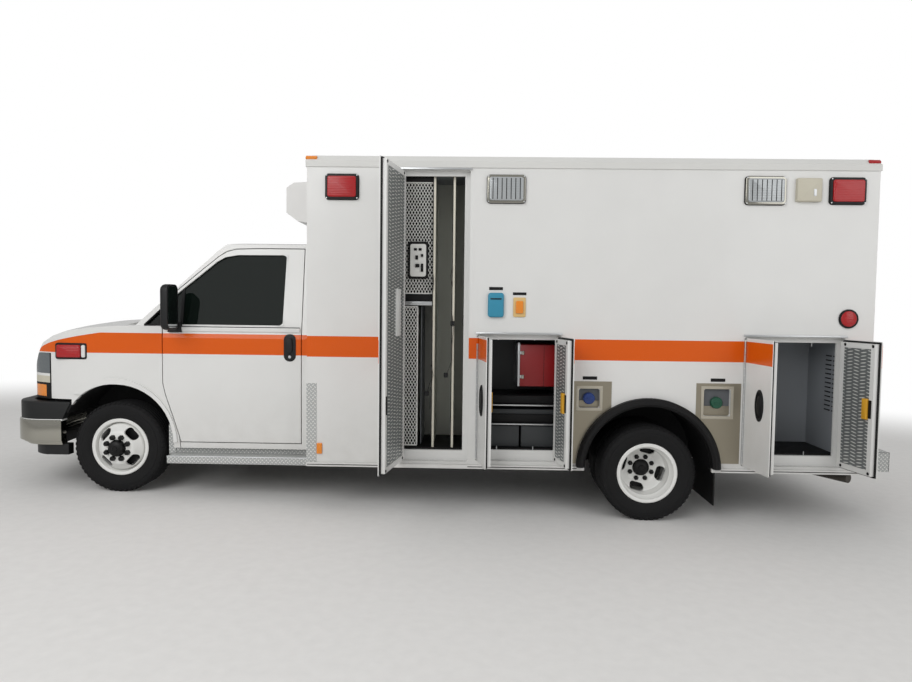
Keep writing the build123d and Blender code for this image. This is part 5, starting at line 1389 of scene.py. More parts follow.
@dataclass
class Boards:
    """Tread plate boards under the cab doors, and the step across the rear."""

    front: float = 0.420
    splash_front: float = 0.384
    rear: float = 1.500
    outer: float = 1.082
    top: float = 0.399
    depth: float = 0.054
    step_half: float = 1.100
    step_rear: float = 5.867
    step_low: float = 0.369
    step_top: float = 0.516

    def board(self) -> None:
        """Board under a cab door with its bearers, and the splash plate ahead of it."""
        form = Form()
        front, rear, top, out = self.front, self.rear, self.top, self.outer
        low = top - self.depth
        wide, middle = rear - front, (front + rear) / 2
        nosing = (middle, top - self.depth / 2)
        form.block((front, -out, top - 0.004), (rear, -0.930, top), TREAD_TOP, 0.001)
        form.plates(Facing.STREET, (
            (nosing, (wide, self.depth), out - 0.004, 0.004, TREAD_STREET, 0.0015),
            ((middle, top + 0.0215), (wide, 0.043), 0.944, 0.004, TREAD_STREET),
        ))
        edge = (-out + 0.002, top - 0.003)
        form.rod((front, *edge), (rear, *edge), 0.0045, ALUMINIUM)
        form.block((front, -out, low - 0.003), (rear, -1.040, low), ALUMINIUM)
        for along in (front + 0.12, middle, rear - 0.12):
            start, end = (along - 0.020, -1.060, 0.348), (along + 0.020, -0.500, 0.392)
            form.block(start, end, CHASSIS_BLACK, 0.004)
        ahead = self.splash_front
        splash = [
            (ahead, top - 0.010), (ahead, 0.615), (ahead + 0.032, 0.645), (ahead + 0.052, 0.560),
            (ahead + 0.052, top - 0.010),
        ]
        form.outline(splash, 0.950, 0.008, TREAD_STREET, bevel=0.001)
        form.pair("running_board", "root", "tread_plate")

    def step(self) -> None:
        """Step across the rear, with its end plates, bearers and rubber blocks."""
        form = Form()
        half, rear, low, top = self.step_half, self.step_rear, self.step_low, self.step_top
        form.block((MODULE_REAR, -half, top - 0.005), (rear, half, top), TREAD_TOP, 0.001)
        centre, size = (0.0, (low + top) / 2), (2 * half, top - low)
        form.plate(centre, size, rear - 0.005, 0.005, TREAD_REAR, Facing.REAR, 0.002)
        end = [
            (MODULE_REAR, top), (rear, top), (rear, low), (rear - 0.07, low),
            (MODULE_REAR, top - 0.06),
        ]
        for side, start in ((-1, half - 0.005), (1, -half)):
            form.outline(end, start, 0.005, TREAD_STREET)
            for across in (0.36 * side, 0.90 * side):
                first, last = (5.560, across - 0.03, 0.420), (rear - 0.03, across + 0.03, 0.505)
                form.block(first, last, CHASSIS_BLACK, 0.004)
            across = side * 0.62
            first, last = (rear, across - 0.14, 0.400), (rear + 0.045, across + 0.14, 0.480)
            form.block(first, last, SEAL_RUBBER, 0.012)
        form.done("rear_step", "root", "tread_plate", replaces=["steps"])

    def build(self) -> None:
        """Makes the boards of both sides and the rear step."""
        self.board()
        self.step()


@dataclass
class CabTrim:
    """Seals, mirrors, handles, wipers and strips of the cab."""

    lean_foot: Point = (0.0, -0.985, 1.388)
    lean_rise: Flat = (0.113, 0.642)
    window: tuple = (
        (0.390, 1.402), *arc((1.250, 1.402), (1.2797, 1.4143), (1.292, 1.444), 5),
        *arc((1.301, 1.904), (1.2887, 1.9337), (1.259, 1.946), 5), (0.908, 1.946), (0.811, 1.928),
        (0.750, 1.893), (0.624, 1.785), (0.470, 1.655), (0.390, 1.575),
    )
    window_corners: tuple = (
        ((1.294, 1.400), *arc((1.294, 1.446), (1.2811, 1.4129), (1.248, 1.400), 5)),
        ((1.303, 1.948), *arc((1.257, 1.948), (1.2901, 1.9351), (1.303, 1.902), 5)),
    )
    quarter: tuple = ((0.212, 1.396), (0.336, 1.396), (0.336, 1.520))
    mirror_low: Point = (0.437, -1.235, 1.366)
    mirror_high: Point = (0.500, -1.042, 1.706)
    glass_foot: Point = (0.140, 0.0, 1.390)
    glass_head: Point = (0.735, 0.0, 1.962)
    # pivot, near end and far end of each wiper, across and up on the windshield
    wipers: tuple = (
        ((0.62, -0.372), (0.30, -0.235), (0.72, -0.268)),
        ((-0.02, -0.372), (-0.34, -0.235), (0.10, -0.268)),
    )

    def lean(self) -> Matrix:
        """Move from across and up on the leaning side window to the body frame."""
        up = Vector((0.0, *self.lean_rise)).normalized()
        across = Vector((1.0, 0.0, 0.0))
        turn = Matrix((across, up, across.cross(up))).transposed().to_4x4()
        return Matrix.Translation(self.lean_foot) @ turn

    def on_lean(self, points: Iterable[Flat]) -> list[Flat]:
        """Points seen from the side, as across and up on the leaning window."""
        rise = self.lean_rise[1] / Vector(self.lean_rise).length
        return [(x, (z - self.lean_foot[2]) / rise) for x, z in points]

    def doors(self) -> None:
        """Window seal, division bar, belt strip and handle of each cab door."""
        form = Form()
        lean = self.lean()
        form.rim(self.on_lean(self.window), 0.018, -0.030, 0.034, SEAL_RUBBER, lean)
        for filler in self.window_corners:
            form.outline(self.on_lean(filler), -0.030, 0.037, CAB_PAINT, lean)
        wedge = self.on_lean(((1.284, 1.400), (1.327, 1.400), (1.302, 1.946), (1.294, 1.946)))
        form.outline(wedge, -0.040, 0.040, CAB_PAINT, lean)
        bar = self.on_lean(((0.484, 1.398), (0.506, 1.398), (0.506, 1.692), (0.484, 1.674)))
        form.outline(bar, -0.026, 0.014, SEAL_RUBBER, lean)
        form.plates(Facing.STREET, (
            ((0.893, 1.3665), (1.060, 0.034), 0.990, 0.014, CAB_PAINT, 0.005),
            ((0.893, 1.3855), (1.050, 0.007), 0.986, 0.010, SEAL_RUBBER, 0.001),
            ((1.345, 1.233), (0.094, 0.212), 0.998, 0.006, BLACK_PLASTIC, 0.003, 0.045),
        ))
        bezel = corners(1.302, 1.131, 1.388, 1.335)
        form.rim(bezel, 0.009, 1.002, 0.008, BLACK_PLASTIC, corner=0.041)
        form.plates(Facing.STREET, (
            ((1.340, 1.250), (0.056, 0.120), 1.003, 0.014, BLACK_PLASTIC, 0.007, 0.024),
            ((1.345, 1.163), (0.022, 0.022), 1.003, 0.004, ALUMINIUM, 0.001, 0.010),
        ))
        form.pair("cab_door_trim", "cab_door_{}", "black_rubber")

    def mirrors(self) -> None:
        """Door mirrors: rounded housing, arm and silvered glass."""
        form = Form()
        (x0, y0, z0), (x1, y1, z1) = self.mirror_low, self.mirror_high
        outline = corners(y0, z0, y1, z1)
        form.outline(outline, -x1, x1 - x0 - 0.002, BLACK_PLASTIC, Facing.FRONT, 0.030, 0.048)
        middle, size = ((y0 + y1) / 2, (z0 + z1) / 2), (y1 - y0 - 0.030, z1 - z0 - 0.034)
        form.plate(middle, size, x1 - 0.001, 0.002, MIRROR_GLASS, Facing.REAR, 0.0, 0.034)
        form.block((0.452, -1.075, 1.374), (0.492, -1.010, 1.414), BLACK_PLASTIC, 0.010)
        foot = [(0.400, 1.342), (0.512, 1.342), (0.506, 1.420), (0.425, 1.420)]
        form.outline(foot, 0.984, 0.034, BLACK_PLASTIC, Facing.STREET, 0.008, 0.010)
        form.pair("door_mirror", "cab_door_{}", "black_plastic", ["mirror_{}"])

    def quarters(self) -> None:
        """Seals of the quarter panes."""
        form = Form()
        lean = self.lean()
        ends = [lean @ Vector((u, v, 0.001)) for u, v in self.on_lean(self.quarter)]
        for start, end in zip(ends, ends[1:] + ends[:1]):
            form.rod(start, end, 0.006, SEAL_RUBBER, 8)
        form.pair("quarter_seal", "root", "black_rubber")

    def front(self) -> None:
        """Seal of the windshield, and the wipers."""
        form = Form()
        foot, head = Vector(self.glass_foot), Vector(self.glass_head)
        up = (head - foot).normalized()
        out = Vector((-up.z, 0.0, up.x))
        turn = Matrix((Vector((0.0, -1.0, 0.0)), up, out)).transposed().to_4x4()
        plane = Matrix.Translation((foot + head) / 2) @ turn
        edge = [(-0.862, -0.352), (0.862, -0.352), (0.787, 0.357), (-0.787, 0.357)]
        form.rim(edge, 0.024, -0.020, 0.024, SEAL_RUBBER, plane, 0.030)
        for wiper in self.wipers:
            pivot, near, far = (plane @ Vector((u, v, 0.026)) for u, v in wiper)
            form.rod(pivot, near, 0.007, SEAL_RUBBER, 8)
            form.rod(near + (near - far) * 0.35, far, 0.006, SEAL_RUBBER, 8)
        form.done("windshield_trim", "root", "black_rubber")

    def build(self) -> None:
        """Makes the trim of the cab."""
        self.doors()
        self.mirrors()
        self.quarters()
        self.front()


@dataclass
class CabSeats:
    """Two seats with crowned cushions, the dashboard and the steering wheel."""

    across: float = 0.430
    floor: float = 0.720
    # name, centre along and up, size, lean
    parts: tuple = (
        ("cushion", (1.010, 1.010), (0.480, 0.500, 0.170), -0.05),
        ("back", (1.345, 1.345), (0.600, 0.500, 0.130), -1.345),
        ("headrest", (1.440, 1.705), (0.150, 0.270, 0.090), -1.345),
    )
    column: float = -29.0

    def seat(self, side: int, name: str) -> None:
        """Cushion, back and head rest of one seat."""
        for part, (along, up), size, lean in self.parts:
            form = Form()
            place = Matrix.Translation((along, side * self.across, up))
            place = place @ Matrix.Rotation(lean, 4, "Y")
            form.pad(size, SEAT_CLOTH, place)
            piece = form.done(f"seat_{part}_{name}", "root", "interior_vinyl")

    def steering(self) -> Form:
        """Steering wheel with its boss and three spokes."""
        form = Form()
        ring = [(0.178 + 0.013 * cos(t * pi / 4), 0.013 * sin(t * pi / 4)) for t in range(9)]
        boss = [(0.0, 0.020), (0.040, 0.016), (0.052, 0.004), (0.052, -0.012), (0.0, -0.012)]
        form.lathe(ring, (0, 0, 0), BLACK_PLASTIC, 40)
        form.lathe(boss, (0, 0, 0), BLACK_PLASTIC, 28)
        for angle in (10, 170, 270):
            spoke = Vector((cos(radians(angle)), 0.0, sin(radians(angle))))
            form.rod(spoke * 0.04, spoke * 0.176, 0.009, BLACK_PLASTIC, 8)
        place = Matrix.Translation((0.790, -self.across, 1.245))
        tilt = place @ Matrix.Rotation(radians(self.column), 4, "Y") @ Facing.REAR.matrix()
        form.mesh.transform(tilt @ Facing.STREET.matrix().inverted())
        return form

    def build(self) -> None:
        """Makes both seats, the dashboard and the steering wheel."""
        for side, name in ((-1, "left"), (1, "right")):
            self.seat(side, name)
        form = Form()
        for side in (-1, 1):
            y = side * self.across
            low, high = (0.860, y - 0.200, self.floor), (1.240, y + 0.200, 0.910)
            form.block(low, high, BLACK_PLASTIC, 0.015)
            for step in (-0.06, 0.06):
                form.rod((1.415, y + step, 1.600), (1.435, y + step, 1.700), 0.006, CHROME, 8)
        dash = [
            (0.520, 1.000), (0.660, 0.980), (0.700, 1.040), (0.705, 1.160), (0.680, 1.230),
            (0.610, 1.300), (0.560, 1.328), (0.520, 1.330),
        ]
        form.outline(dash, -0.900, 1.800, DASH_VINYL, bevel=0.010)
        hood = [(0.600, 1.270), (0.700, 1.245), (0.715, 1.300), (0.620, 1.350)]
        form.outline(hood, self.across - 0.19, 0.38, DASH_VINYL, Facing.STREET, 0.012, 0.010)
        form.plates(Facing.REAR, (
            ((self.across, 1.10), (0.30, 0.16), 0.700, 0.012, BLACK_PLASTIC, 0.004, 0.01),
            ((0.0, 1.12), (0.24, 0.18), 0.700, 0.012, BLACK_PLASTIC, 0.004, 0.01),
        ))
        form.join(self.steering())
        column = ((0.640, -self.across, 1.165), (0.785, -self.across, 1.243))
        form.rod(*column, 0.032, BLACK_PLASTIC, 16)
        form.done("dashboard", "root", "interior_vinyl", replaces=["cab_interior"])


@dataclass
class DoorHardware:
    """Handles, hinges, window seals and rails of the entry door and the rear doors."""

    glass_foot: float = 1.520
    entry_head: float = 2.400
    entry_hinges: tuple = (0.62, 1.20, 2.25)
    knuckle: float = 0.05
    doorway_half: float = 0.640
    rear_high: float = 2.400
    rear_hinges: tuple = (0.98, 1.45, 1.92, 2.28)
    rail_ends: Flat = (0.20, 0.44)
    rail_up: float = 1.240

    def curb(self) -> None:
        """Entry door on the curb side, and the rail beside it."""
        back = STANCE.inverted()
        front, rear = (back @ Vector(v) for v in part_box("entry_door"))
        left, right = (back @ Vector(v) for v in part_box("entry_glass"))
        front, rear = front.x + 0.03, rear.x - 0.03
        grow = 0.018
        form = Form()
        ring = corners(
            left.x + 0.02 - grow, self.glass_foot - grow,
            right.x - 0.02 + grow, self.entry_head - 0.220 + grow,
        )
        form.rim(ring, 0.030, 1.216, 0.012, SEAL_RUBBER, Facing.CURB, 0.040)
        for up in self.entry_hinges:
            for step in range(3):
                low = up + step * self.knuckle
                form.rod((front, 1.225, low), (front, 1.225, low + 0.047), 0.008, ALUMINIUM, 10)
        form.plates(Facing.CURB, (
            ((rear - 0.085, 1.300), (0.075, 0.150), 1.218, 0.006, BLACK_PLASTIC, 0.003, 0.034),
            ((rear - 0.085, 1.310), (0.044, 0.090), 1.222, 0.012, CHROME, 0.005, 0.020),
        ))
        form.done("entry_door_hardware", "entry_door", "black_rubber")
        rail = Form()
        along, out = rear + 0.085, 1.262
        rail.rod((along, out, 0.95), (along, out, 1.45), 0.012, ALUMINIUM, 14)
        for up in (0.96, 1.44):
            rail.rod((along, 1.215, up), (along, out, up), 0.012, ALUMINIUM, 14)
        rail.done("entry_grab_rail", "root", "tread_plate")

    def back(self, side: int, body: str) -> None:
        """One rear door: seal round its glass, hinges, handle, rail and kick plate.

        Args:
            side: -1 for the street side door, 1 for the curb side door.
            body: Body that they ride on.
        """
        form = Form()
        half, face, up = self.doorway_half, MODULE_REAR, self.rail_up
        y0, y1 = 0.124, half - 0.124
        low, high = 1.560, self.rear_high - 0.160
        ring = corners(side * (y0 - 0.014), low - 0.014, side * (y1 + 0.014), high + 0.014)
        form.rim(ring, 0.028, face - 0.003, 0.012, SEAL_RUBBER, Facing.REAR, 0.040)
        for middle in self.rear_hinges:
            pin = (face + 0.006, side * half)
            form.rod((*pin, middle - 0.05), (*pin, middle + 0.05), 0.010, ALUMINIUM, 12)
            spot = (side * (half - 0.035), middle)
            form.plate(spot, (0.060, 0.080), face, 0.004, ALUMINIUM, Facing.REAR, 0.0015, 0.006)
        if side < 0:
            across = side * 0.075
            form.plates(Facing.REAR, (
                ((across, 1.360), (0.080, 0.170), face - 0.001, 0.006, BLACK_PLASTIC, 0.003, 0.036),
                ((across, 1.370), (0.046, 0.100), face + 0.004, 0.012, CHROME, 0.005, 0.020),
            ))
        near, far = ((face + 0.045, side * across, up) for across in self.rail_ends)
        form.rod(near, far, 0.011, ALUMINIUM, 14)
        for end in (near, far):
            form.rod((face - 0.004, end[1], up), end, 0.011, ALUMINIUM, 14)
        centre, size = (side * 0.318, 0.955), (0.600, 0.170)
        form.plate(centre, size, face, 0.003, TREAD_REAR, Facing.REAR, 0.001)
        form.done(f"{body}_hardware", body, "tread_plate")

    def build(self) -> None:
        """Makes the hardware of the entry door and both rear doors."""
        self.curb()
        self.back(-1, "rear_door_left")
        self.back(1, "rear_door_right")


class LampKind(Enum):
    """What a lamp on the module shows."""

    WARNING = "warning"
    SCENE = "scene"
    HOUSING = "housing"


@dataclass
class LampSet:
    """Warning lamps, work lamps and markers, each a bezel with a ribbed lens."""

    # centre along, centre up, width, height, kind
    side: tuple = (
        (1.786, 2.423, 0.248, 0.190, LampKind.WARNING),
        (2.976, 2.416, 0.284, 0.208, LampKind.SCENE),
        (4.828, 2.420, 0.296, 0.208, LampKind.SCENE),
        (5.410, 2.422, 0.262, 0.196, LampKind.WARNING),
        (5.132, 2.426, 0.180, 0.170, LampKind.HOUSING),
    )
    round_lamp: Flat = (5.454, 1.510)
    end: tuple = ((-0.960, 2.400), (0.960, 2.400))
    end_size: Flat = (0.24, 0.18)
    tail: tuple = ((-0.960, 1.180), (0.960, 1.180))
    # height above the middle of the group, and lens, of the tail lamps
    tail_lenses: tuple = ((0.135, LENS_RED), (0.0, LENS_AMBER), (-0.135, LENS_CLEAR))

    def lamp(
        self, form: Form, at: Flat, size: Flat, kind: LampKind, out: float, facing: Facing
    ) -> None:
        """One lamp: dark gasket, bright bezel and lens.

        Args:
            form: Form that it is added to.
            at: Centre, across and up.
            size: Width and height.
            kind: What it shows.
            out: Distance outwards of the panel that it sits on.
            facing: Side that it looks to.
        """
        u, v = at
        wide, tall = size
        if kind is LampKind.HOUSING:
            form.plates(facing, (
                (at, (wide * 0.98, tall * 0.98), out, 0.034, BEIGE_PLASTIC, 0.010, 0.010),
                ((u + wide * 0.2, v - 0.02), (0.02, 0.05), out + 0.033, 0.003, ALUMINIUM, 0.001),
            ))
            return
        warning = kind is LampKind.WARNING
        bezel, lens = (BLACK_PLASTIC, LENS_RED) if warning else (CHROME, LENS_CLEAR)
        form.plates(facing, (
            (at, size, out, 0.008, SEAL_RUBBER, 0.003, 0.026),
            (at, (wide - 0.008, tall - 0.008), out + 0.006, 0.016, bezel, 0.005, 0.022),
        ))
        screw_u, screw_v = (wide - 0.026) / 2, (tall - 0.026) / 2
        for screw in ((-1, -1), (-1, 1), (1, -1), (1, 1)):
            spot = (u + screw[0] * screw_u, v + screw[1] * screw_v)
            form.plate(spot, (0.010, 0.010), out + 0.0215, 0.002, ALUMINIUM, facing, 0.001, 0.004)
        inner = (wide - 0.040, tall - 0.040)
        form.plate(at, inner, out + 0.012, 0.022, lens, facing, 0.008, 0.016)
        if kind is LampKind.SCENE:
            for step in range(-3, 4):
                spot = (u + step * inner[0] / 7.5, v)
                form.plate(spot, (0.006, inner[1] * 0.9), out + 0.0335, 0.001, SEAL_RUBBER, facing)

    def build(self) -> None:
        """Makes the lamps of both sides and both ends of the module."""
        row = Form()
        for along, up, width, height, kind in self.side:
            self.lamp(row, (along, up), (width, height), kind, -SIDE, Facing.STREET)
        disc = [
            (0.0, 0.020), (0.046, 0.018), (0.056, 0.012), (0.057, 0.004), (0.057, 0.0), (0.0, 0.0),
        ]
        ring = [(0.050, 0.012), (0.069, 0.010), (0.069, 0.0), (0.050, 0.0), (0.050, 0.012)]
        at = (self.round_lamp[0], SIDE, self.round_lamp[1])
        row.lathe(disc, at, LENS_RED)
        row.lathe(ring, at, SEAL_RUBBER)
        row.pair("side_lamps", "root", "lamp_lens", ["lamps"])
        ends = Form()
        for at in self.end:
            self.lamp(ends, at, self.end_size, LampKind.WARNING, -MODULE_FRONT, Facing.FRONT)
            self.lamp(ends, at, self.end_size, LampKind.WARNING, MODULE_REAR, Facing.REAR)
        for across, up in self.tail:
            for step, lens in self.tail_lenses:
                spot = (across, up + step)
                ends.plates(Facing.REAR, (
                    (spot, (0.160, 0.130), MODULE_REAR, 0.010, CHROME, 0.004, 0.012),
                    (spot, (0.132, 0.102), MODULE_REAR + 0.006, 0.024, lens, 0.008, 0.010),
                ))
        ends.done("end_lamps", "root", "lamp_lens")


@dataclass
class LeafDress:
    """Inner panel, seal, latch, bumpers, hinge and handle of a compartment door leaf."""

    leaf: Leaf
    border: float = 0.052
    handle_up: float = 0.900
    # scale of the turned handle along, outwards and up
    oval: Point = (0.85, 1.0, 1.75)
    inner_face: float = -1.174
    knuckle: float = 0.05
    # a leaf that reaches above this is the tall one
    tall_from: float = 2.0

    def free(self) -> tuple[float, float]:
        """Place of the free edge, and the direction from it to the hinge."""
        if abs(self.leaf.hinge - self.leaf.front) < 0.01:
            return self.leaf.rear, -1.0
        return self.leaf.front, 1.0

    def build(self) -> None:
        """Makes the dress of the leaf, riding on it."""
        leaf, face = self.leaf, self.inner_face
        edge, inward = self.free()
        form = Form()
        along, up = (leaf.front + leaf.rear) / 2, (leaf.low + leaf.high) / 2
        wide, tall = leaf.rear - leaf.front, leaf.high - leaf.low
        inner = (wide - 2 * self.border - 0.004, tall - 2 * self.border - 0.004)
        near = (edge + inward * 0.040, self.handle_up)
        seal = (-1.212, 0.012, SEAL_RUBBER, 0.003)
        form.plates(Facing.CURB, (
            ((along, up), inner, face - 0.004, 0.003, TREAD_DOOR),
            ((leaf.front + 0.009, up), (0.010, tall - 0.012), *seal),
            ((leaf.rear - 0.009, up), (0.010, tall - 0.012), *seal),
            ((along, leaf.low + 0.009), (wide - 0.028, 0.010), *seal),
            ((along, leaf.high - 0.009), (wide - 0.028, 0.010), *seal),
            (near, (0.026, 0.125), face, 0.004, SEAL_RUBBER, 0.0015, 0.004),
        ))
        if leaf.high > self.tall_from:
            spot, cover = (edge + inward * 0.300, 1.520), (0.100, 0.330)
            form.plate(spot, cover, face - 0.003, 0.012, WHITE_PAINT, Facing.CURB, 0.003, 0.006)
        else:
            spot, latch = (edge + inward * 0.078, self.handle_up), (0.046, 0.142)
            form.plate(spot, latch, face - 0.004, 0.020, LATCH_YELLOW, Facing.CURB, 0.004, 0.004)
        stub = [(0.0, 0.004), (0.008, 0.0035), (0.011, 0.0015), (0.011, 0.0), (0.0, 0.0)]
        for height in (leaf.low + 0.032, leaf.high - 0.032):
            for across in (edge + inward * 0.034, edge + inward * (wide - 0.060)):
                form.lathe(stub, (across, face, height), SEAL_RUBBER, 16, Facing.CURB)
        self.handle(form, edge + inward * 0.145)
        pin = (leaf.hinge, leaf.hinge_y)
        for number in range(int((tall - 0.03) / self.knuckle)):
            low = leaf.low + 0.015 + number * self.knuckle
            form.rod((*pin, low), (*pin, low + 0.047), 0.0072, ALUMINIUM, 10)
        form.done(f"{leaf.node}_dress", leaf.node, "tread_plate", leaf.matrix())

    def handle(self, form: Form, along: float) -> None:
        """Oval paddle handle in its rim, on the outer skin."""
        rim = [
            (0.064, 0.0), (0.064, 0.006), (0.057, 0.010),
            (0.052, 0.006), (0.052, 0.0), (0.064, 0.0),
        ]
        pan = [(0.0, 0.003), (0.053, 0.003), (0.053, 0.0), (0.0, 0.0)]
        paddle = [(0.0, 0.012), (0.026, 0.011), (0.038, 0.007), (0.040, 0.002), (0.0, 0.002)]
        squeeze = Matrix.Diagonal((*self.oval, 1.0))
        for profile, finish in ((rim, BLACK_PLASTIC), (pan, SEAL_RUBBER), (paddle, BLACK_PLASTIC)):
            shape = Form()
            shape.lathe(profile, (0, 0, 0), finish, 40)
            shape.mesh.transform(Matrix.Translation((along, SIDE, self.handle_up)) @ squeeze)
            form.join(shape)


@dataclass
class Fittings:
    """What stands in the open compartments: screens, dividers, shelves, straps, boxes and mats."""

    back_tall: float = -0.629
    back_low: float = -0.689
    mouth: float = -1.130
    # rise of the screens' strands, up for each metre along
    rise: float = 1.75
    strand: float = 0.0027
    # along and up of the ends and bends of each strap, which hangs at the mouth
    straps: tuple = (
        ((2.448, 1.80), (2.452, 1.75), (2.446, 1.68)),
        ((2.590, 1.86), (2.578, 1.79), (2.588, 1.72)),
        ((2.592, 1.50), (2.602, 1.40), (2.590, 1.25), (2.592, 1.16), (2.556, 1.06)),
        ((2.440, 1.13), (2.455, 1.05), (2.430, 0.99), (2.412, 0.92)),
        ((2.436, 0.96), (2.434, 0.80)),
        ((2.676, 1.50), (2.668, 1.45), (2.676, 1.42)),
    )
    buckles: tuple = ((2.550, 1.055), (2.410, 0.915), (2.596, 1.44))
    # centre and size of the small things in the tall compartment's window
    window_parts: tuple = (
        ((2.315, 1.985), (0.022, 0.018)), ((2.350, 1.985), (0.022, 0.018)),
        ((2.325, 1.925), (0.020, 0.030)), ((2.365, 1.940), (0.016, 0.022)),
        ((2.330, 1.865), (0.030, 0.026)), ((2.365, 1.850), (0.018, 0.060)),
    )

    def screen(self, form: Form, low: Flat, high: Flat, y: float, pitch: float = 0.023) -> None:
        """Expanded metal: crossing slanted strands inside a thin frame.

        Args:
            form: Form that it is added to.
            low: Lowest corner, along and up.
            high: Highest corner, along and up.
            y: Plane that it stands in.
            pitch: Distance between strands along the screen.
        """
        wide, tall, rise = high[0] - low[0], high[1] - low[1], self.rise
        for slant in (-1, 1):
            edge = low[0] if slant > 0 else high[0]
            for number in range(int((wide + tall / rise) / pitch) + 1):
                start = number * pitch
                foot = (min(start, wide), max(start - wide, 0.0) * rise)
                head = (max(start * rise - tall, 0.0) / rise, min(start * rise, tall))
                if foot[1] < head[1]:
                    ends = [(edge + slant * u, y, low[1] + v) for u, v in (foot, head)]
                    form.rod(*ends, self.strand, SCREEN_STEEL, 4)
        for u in (low[0], high[0]):
            first, last = (u - 0.004, y - 0.004, low[1]), (u + 0.004, y + 0.004, high[1])
            form.block(first, last, SCREEN_STEEL, 0.001)
        for v in (low[1], high[1]):
            first, last = (low[0], y - 0.004, v - 0.004), (high[0], y + 0.004, v + 0.004)
            form.block(first, last, SCREEN_STEEL, 0.001)

    def strap(self, form: Form, points: Sequence[Point], width: float = 0.024) -> None:
        """Flat black webbing through a few points."""
        for start, end in zip(points, points[1:]):
            length, turn = spanned(start, end)
            half = length / 2 + 0.002
            low, high = (-width / 2, -0.0012, -half), (width / 2, 0.0012, half)
            form.block(low, high, WEBBING, 0.0005, turn)

    def tall(self) -> None:
        """Tall compartment: screens in front, two dividers, a shelf and straps."""
        form = Form()
        floor, top, back, mouth = 0.498, 2.543, self.back_tall, self.mouth
        # Back, rear wall and dividers in the pale copy of the powder coat: painted light
        form.block((2.207, back - 0.004, floor), (2.711, back - 0.001, top), LINER_PAINTED_LIGHT)
        form.block((2.707, -1.120, floor), (2.710, back, top), LINER_PAINTED_LIGHT)
        for along in (2.455, 2.600):
            form.block((along - 0.0015, mouth, floor), (along + 0.0015, back, top), LINER_PAINTED_LIGHT)
            edge = along - 0.007
            form.block((edge, mouth - 0.003, floor), (along + 0.009, mouth, top), EDGE_BEIGE, 0.001)
            form.block((along - 0.013, mouth - 0.002, floor), (edge, mouth, top), SEAL_RUBBER)
        # Dark sheets behind the screens stand for the gear there, darkened as painted shade
        for rear, low, high in ((2.452, 1.660, 2.478), (2.337, 0.520, 1.560)):
            form.block((2.208, -1.060, low), (rear, -1.056, high), SEAL_RUBBER)
        form.block((2.206, -1.125, 1.575), (2.453, back, 1.580), LINER_GREY)
        form.block((2.206, -1.128, 1.572), (2.453, -1.125, 1.600), ALUMINIUM, 0.001)
        form.block((2.206, -1.120, 1.601), (2.453, -1.110, 1.655), SEAL_RUBBER, 0.002)
        form.block((2.206, -1.120, 2.480), (2.453, -1.100, 2.542), SEAL_RUBBER, 0.002)
        form.block((2.355, -1.02, floor), (2.360, back, 1.575), LINER_GREY)
        self.screen(form, (2.212, 1.660), (2.450, 2.478), -1.112)
        self.screen(form, (2.212, 0.520), (2.335, 1.560), -1.112)
        form.plates(Facing.STREET, (
            ((2.335, 1.905), (0.150, 0.275), 1.114, 0.012, SEAL_RUBBER, 0.003, 0.02),
            ((2.335, 1.905), (0.118, 0.240), 1.120, 0.010, SCREEN_STEEL, 0.003, 0.015),
            *(
                (at, size, 1.130, 0.010, SEAL_RUBBER, 0.002, 0.003)
                for at, size in self.window_parts
            ),
        ))
        y = mouth - 0.008
        for route in self.straps:
            self.strap(form, [(along, y, up) for along, up in route])
        for at in self.buckles:
            form.plate(at, (0.030, 0.036), -y, 0.008, BLACK_PLASTIC, Facing.STREET, 0.002, 0.003)
        form.block((2.207, -1.147, floor - 0.001), (2.710, back, floor + 0.012), SEAL_RUBBER, 0.002)
        form.done("tall_fittings", "root", "liner_grey")

    def middle(self) -> None:
        """Middle compartment: red box above, drawers between two shelves, bins below."""
        form = Form()
        form.block((3.105, -1.080, 0.972), (3.380, -0.700, 1.285), BOX_RED, 0.004)
        form.block((3.088, -1.084, 0.972), (3.104, -0.700, 1.300), ALUMINIUM, 0.002)
        form.block((3.283, -1.0815, 0.975), (3.2855, -1.0795, 1.282), SEAL_RUBBER)
        for up in (1.045, 1.225):
            form.plates(Facing.STREET, (
                ((3.126, up), (0.020, 0.030), 1.080, 0.010, CHROME, 0.003, 0.004),
                ((3.108, up), (0.018, 0.022), 1.080, 0.014, ALUMINIUM, 0.003, 0.003),
            ))
        # Shelves in the near black copy of the powder coat: painted shade
        for up in (0.837, 0.694):
            form.block((2.786, -1.130, up - 0.004), (3.386, self.back_low, up), LINER_PAINTED_SHADE)
            form.block((2.786, -1.134, up - 0.007), (3.386, -1.130, up + 0.003), ALUMINIUM, 0.001)
        for low, high in ((0.840, 0.905), (0.697, 0.765)):
            form.block((2.800, -1.110, low), (3.375, -0.720, high), SEAL_RUBBER, 0.006)
        form.block((2.800, -1.100, 0.765), (3.375, -0.720, 0.800), BIN_GREY, 0.004)
        for low, high in ((2.800, 3.104), (3.118, 3.370)):
            form.block((low, -1.115, 0.518), (high, -0.720, 0.678), BIN_GREY, 0.008)
        form.block((2.784, -1.147, 0.503), (3.388, self.back_low, 0.516), SEAL_RUBBER, 0.002)
        # Near black sheet on the back wall: painted shade
        form.block((2.784, -0.694, 0.850), (3.388, -0.690, 1.355), LINER_PAINTED_SHADE)
        for along in (2.935, 3.205):
            for up in (0.503, 1.322):
                form.rod((along, -1.150, up), (along, -1.150, up + 0.028), 0.004, ALUMINIUM, 8)
        form.done("middle_fittings", "root", "liner_grey")

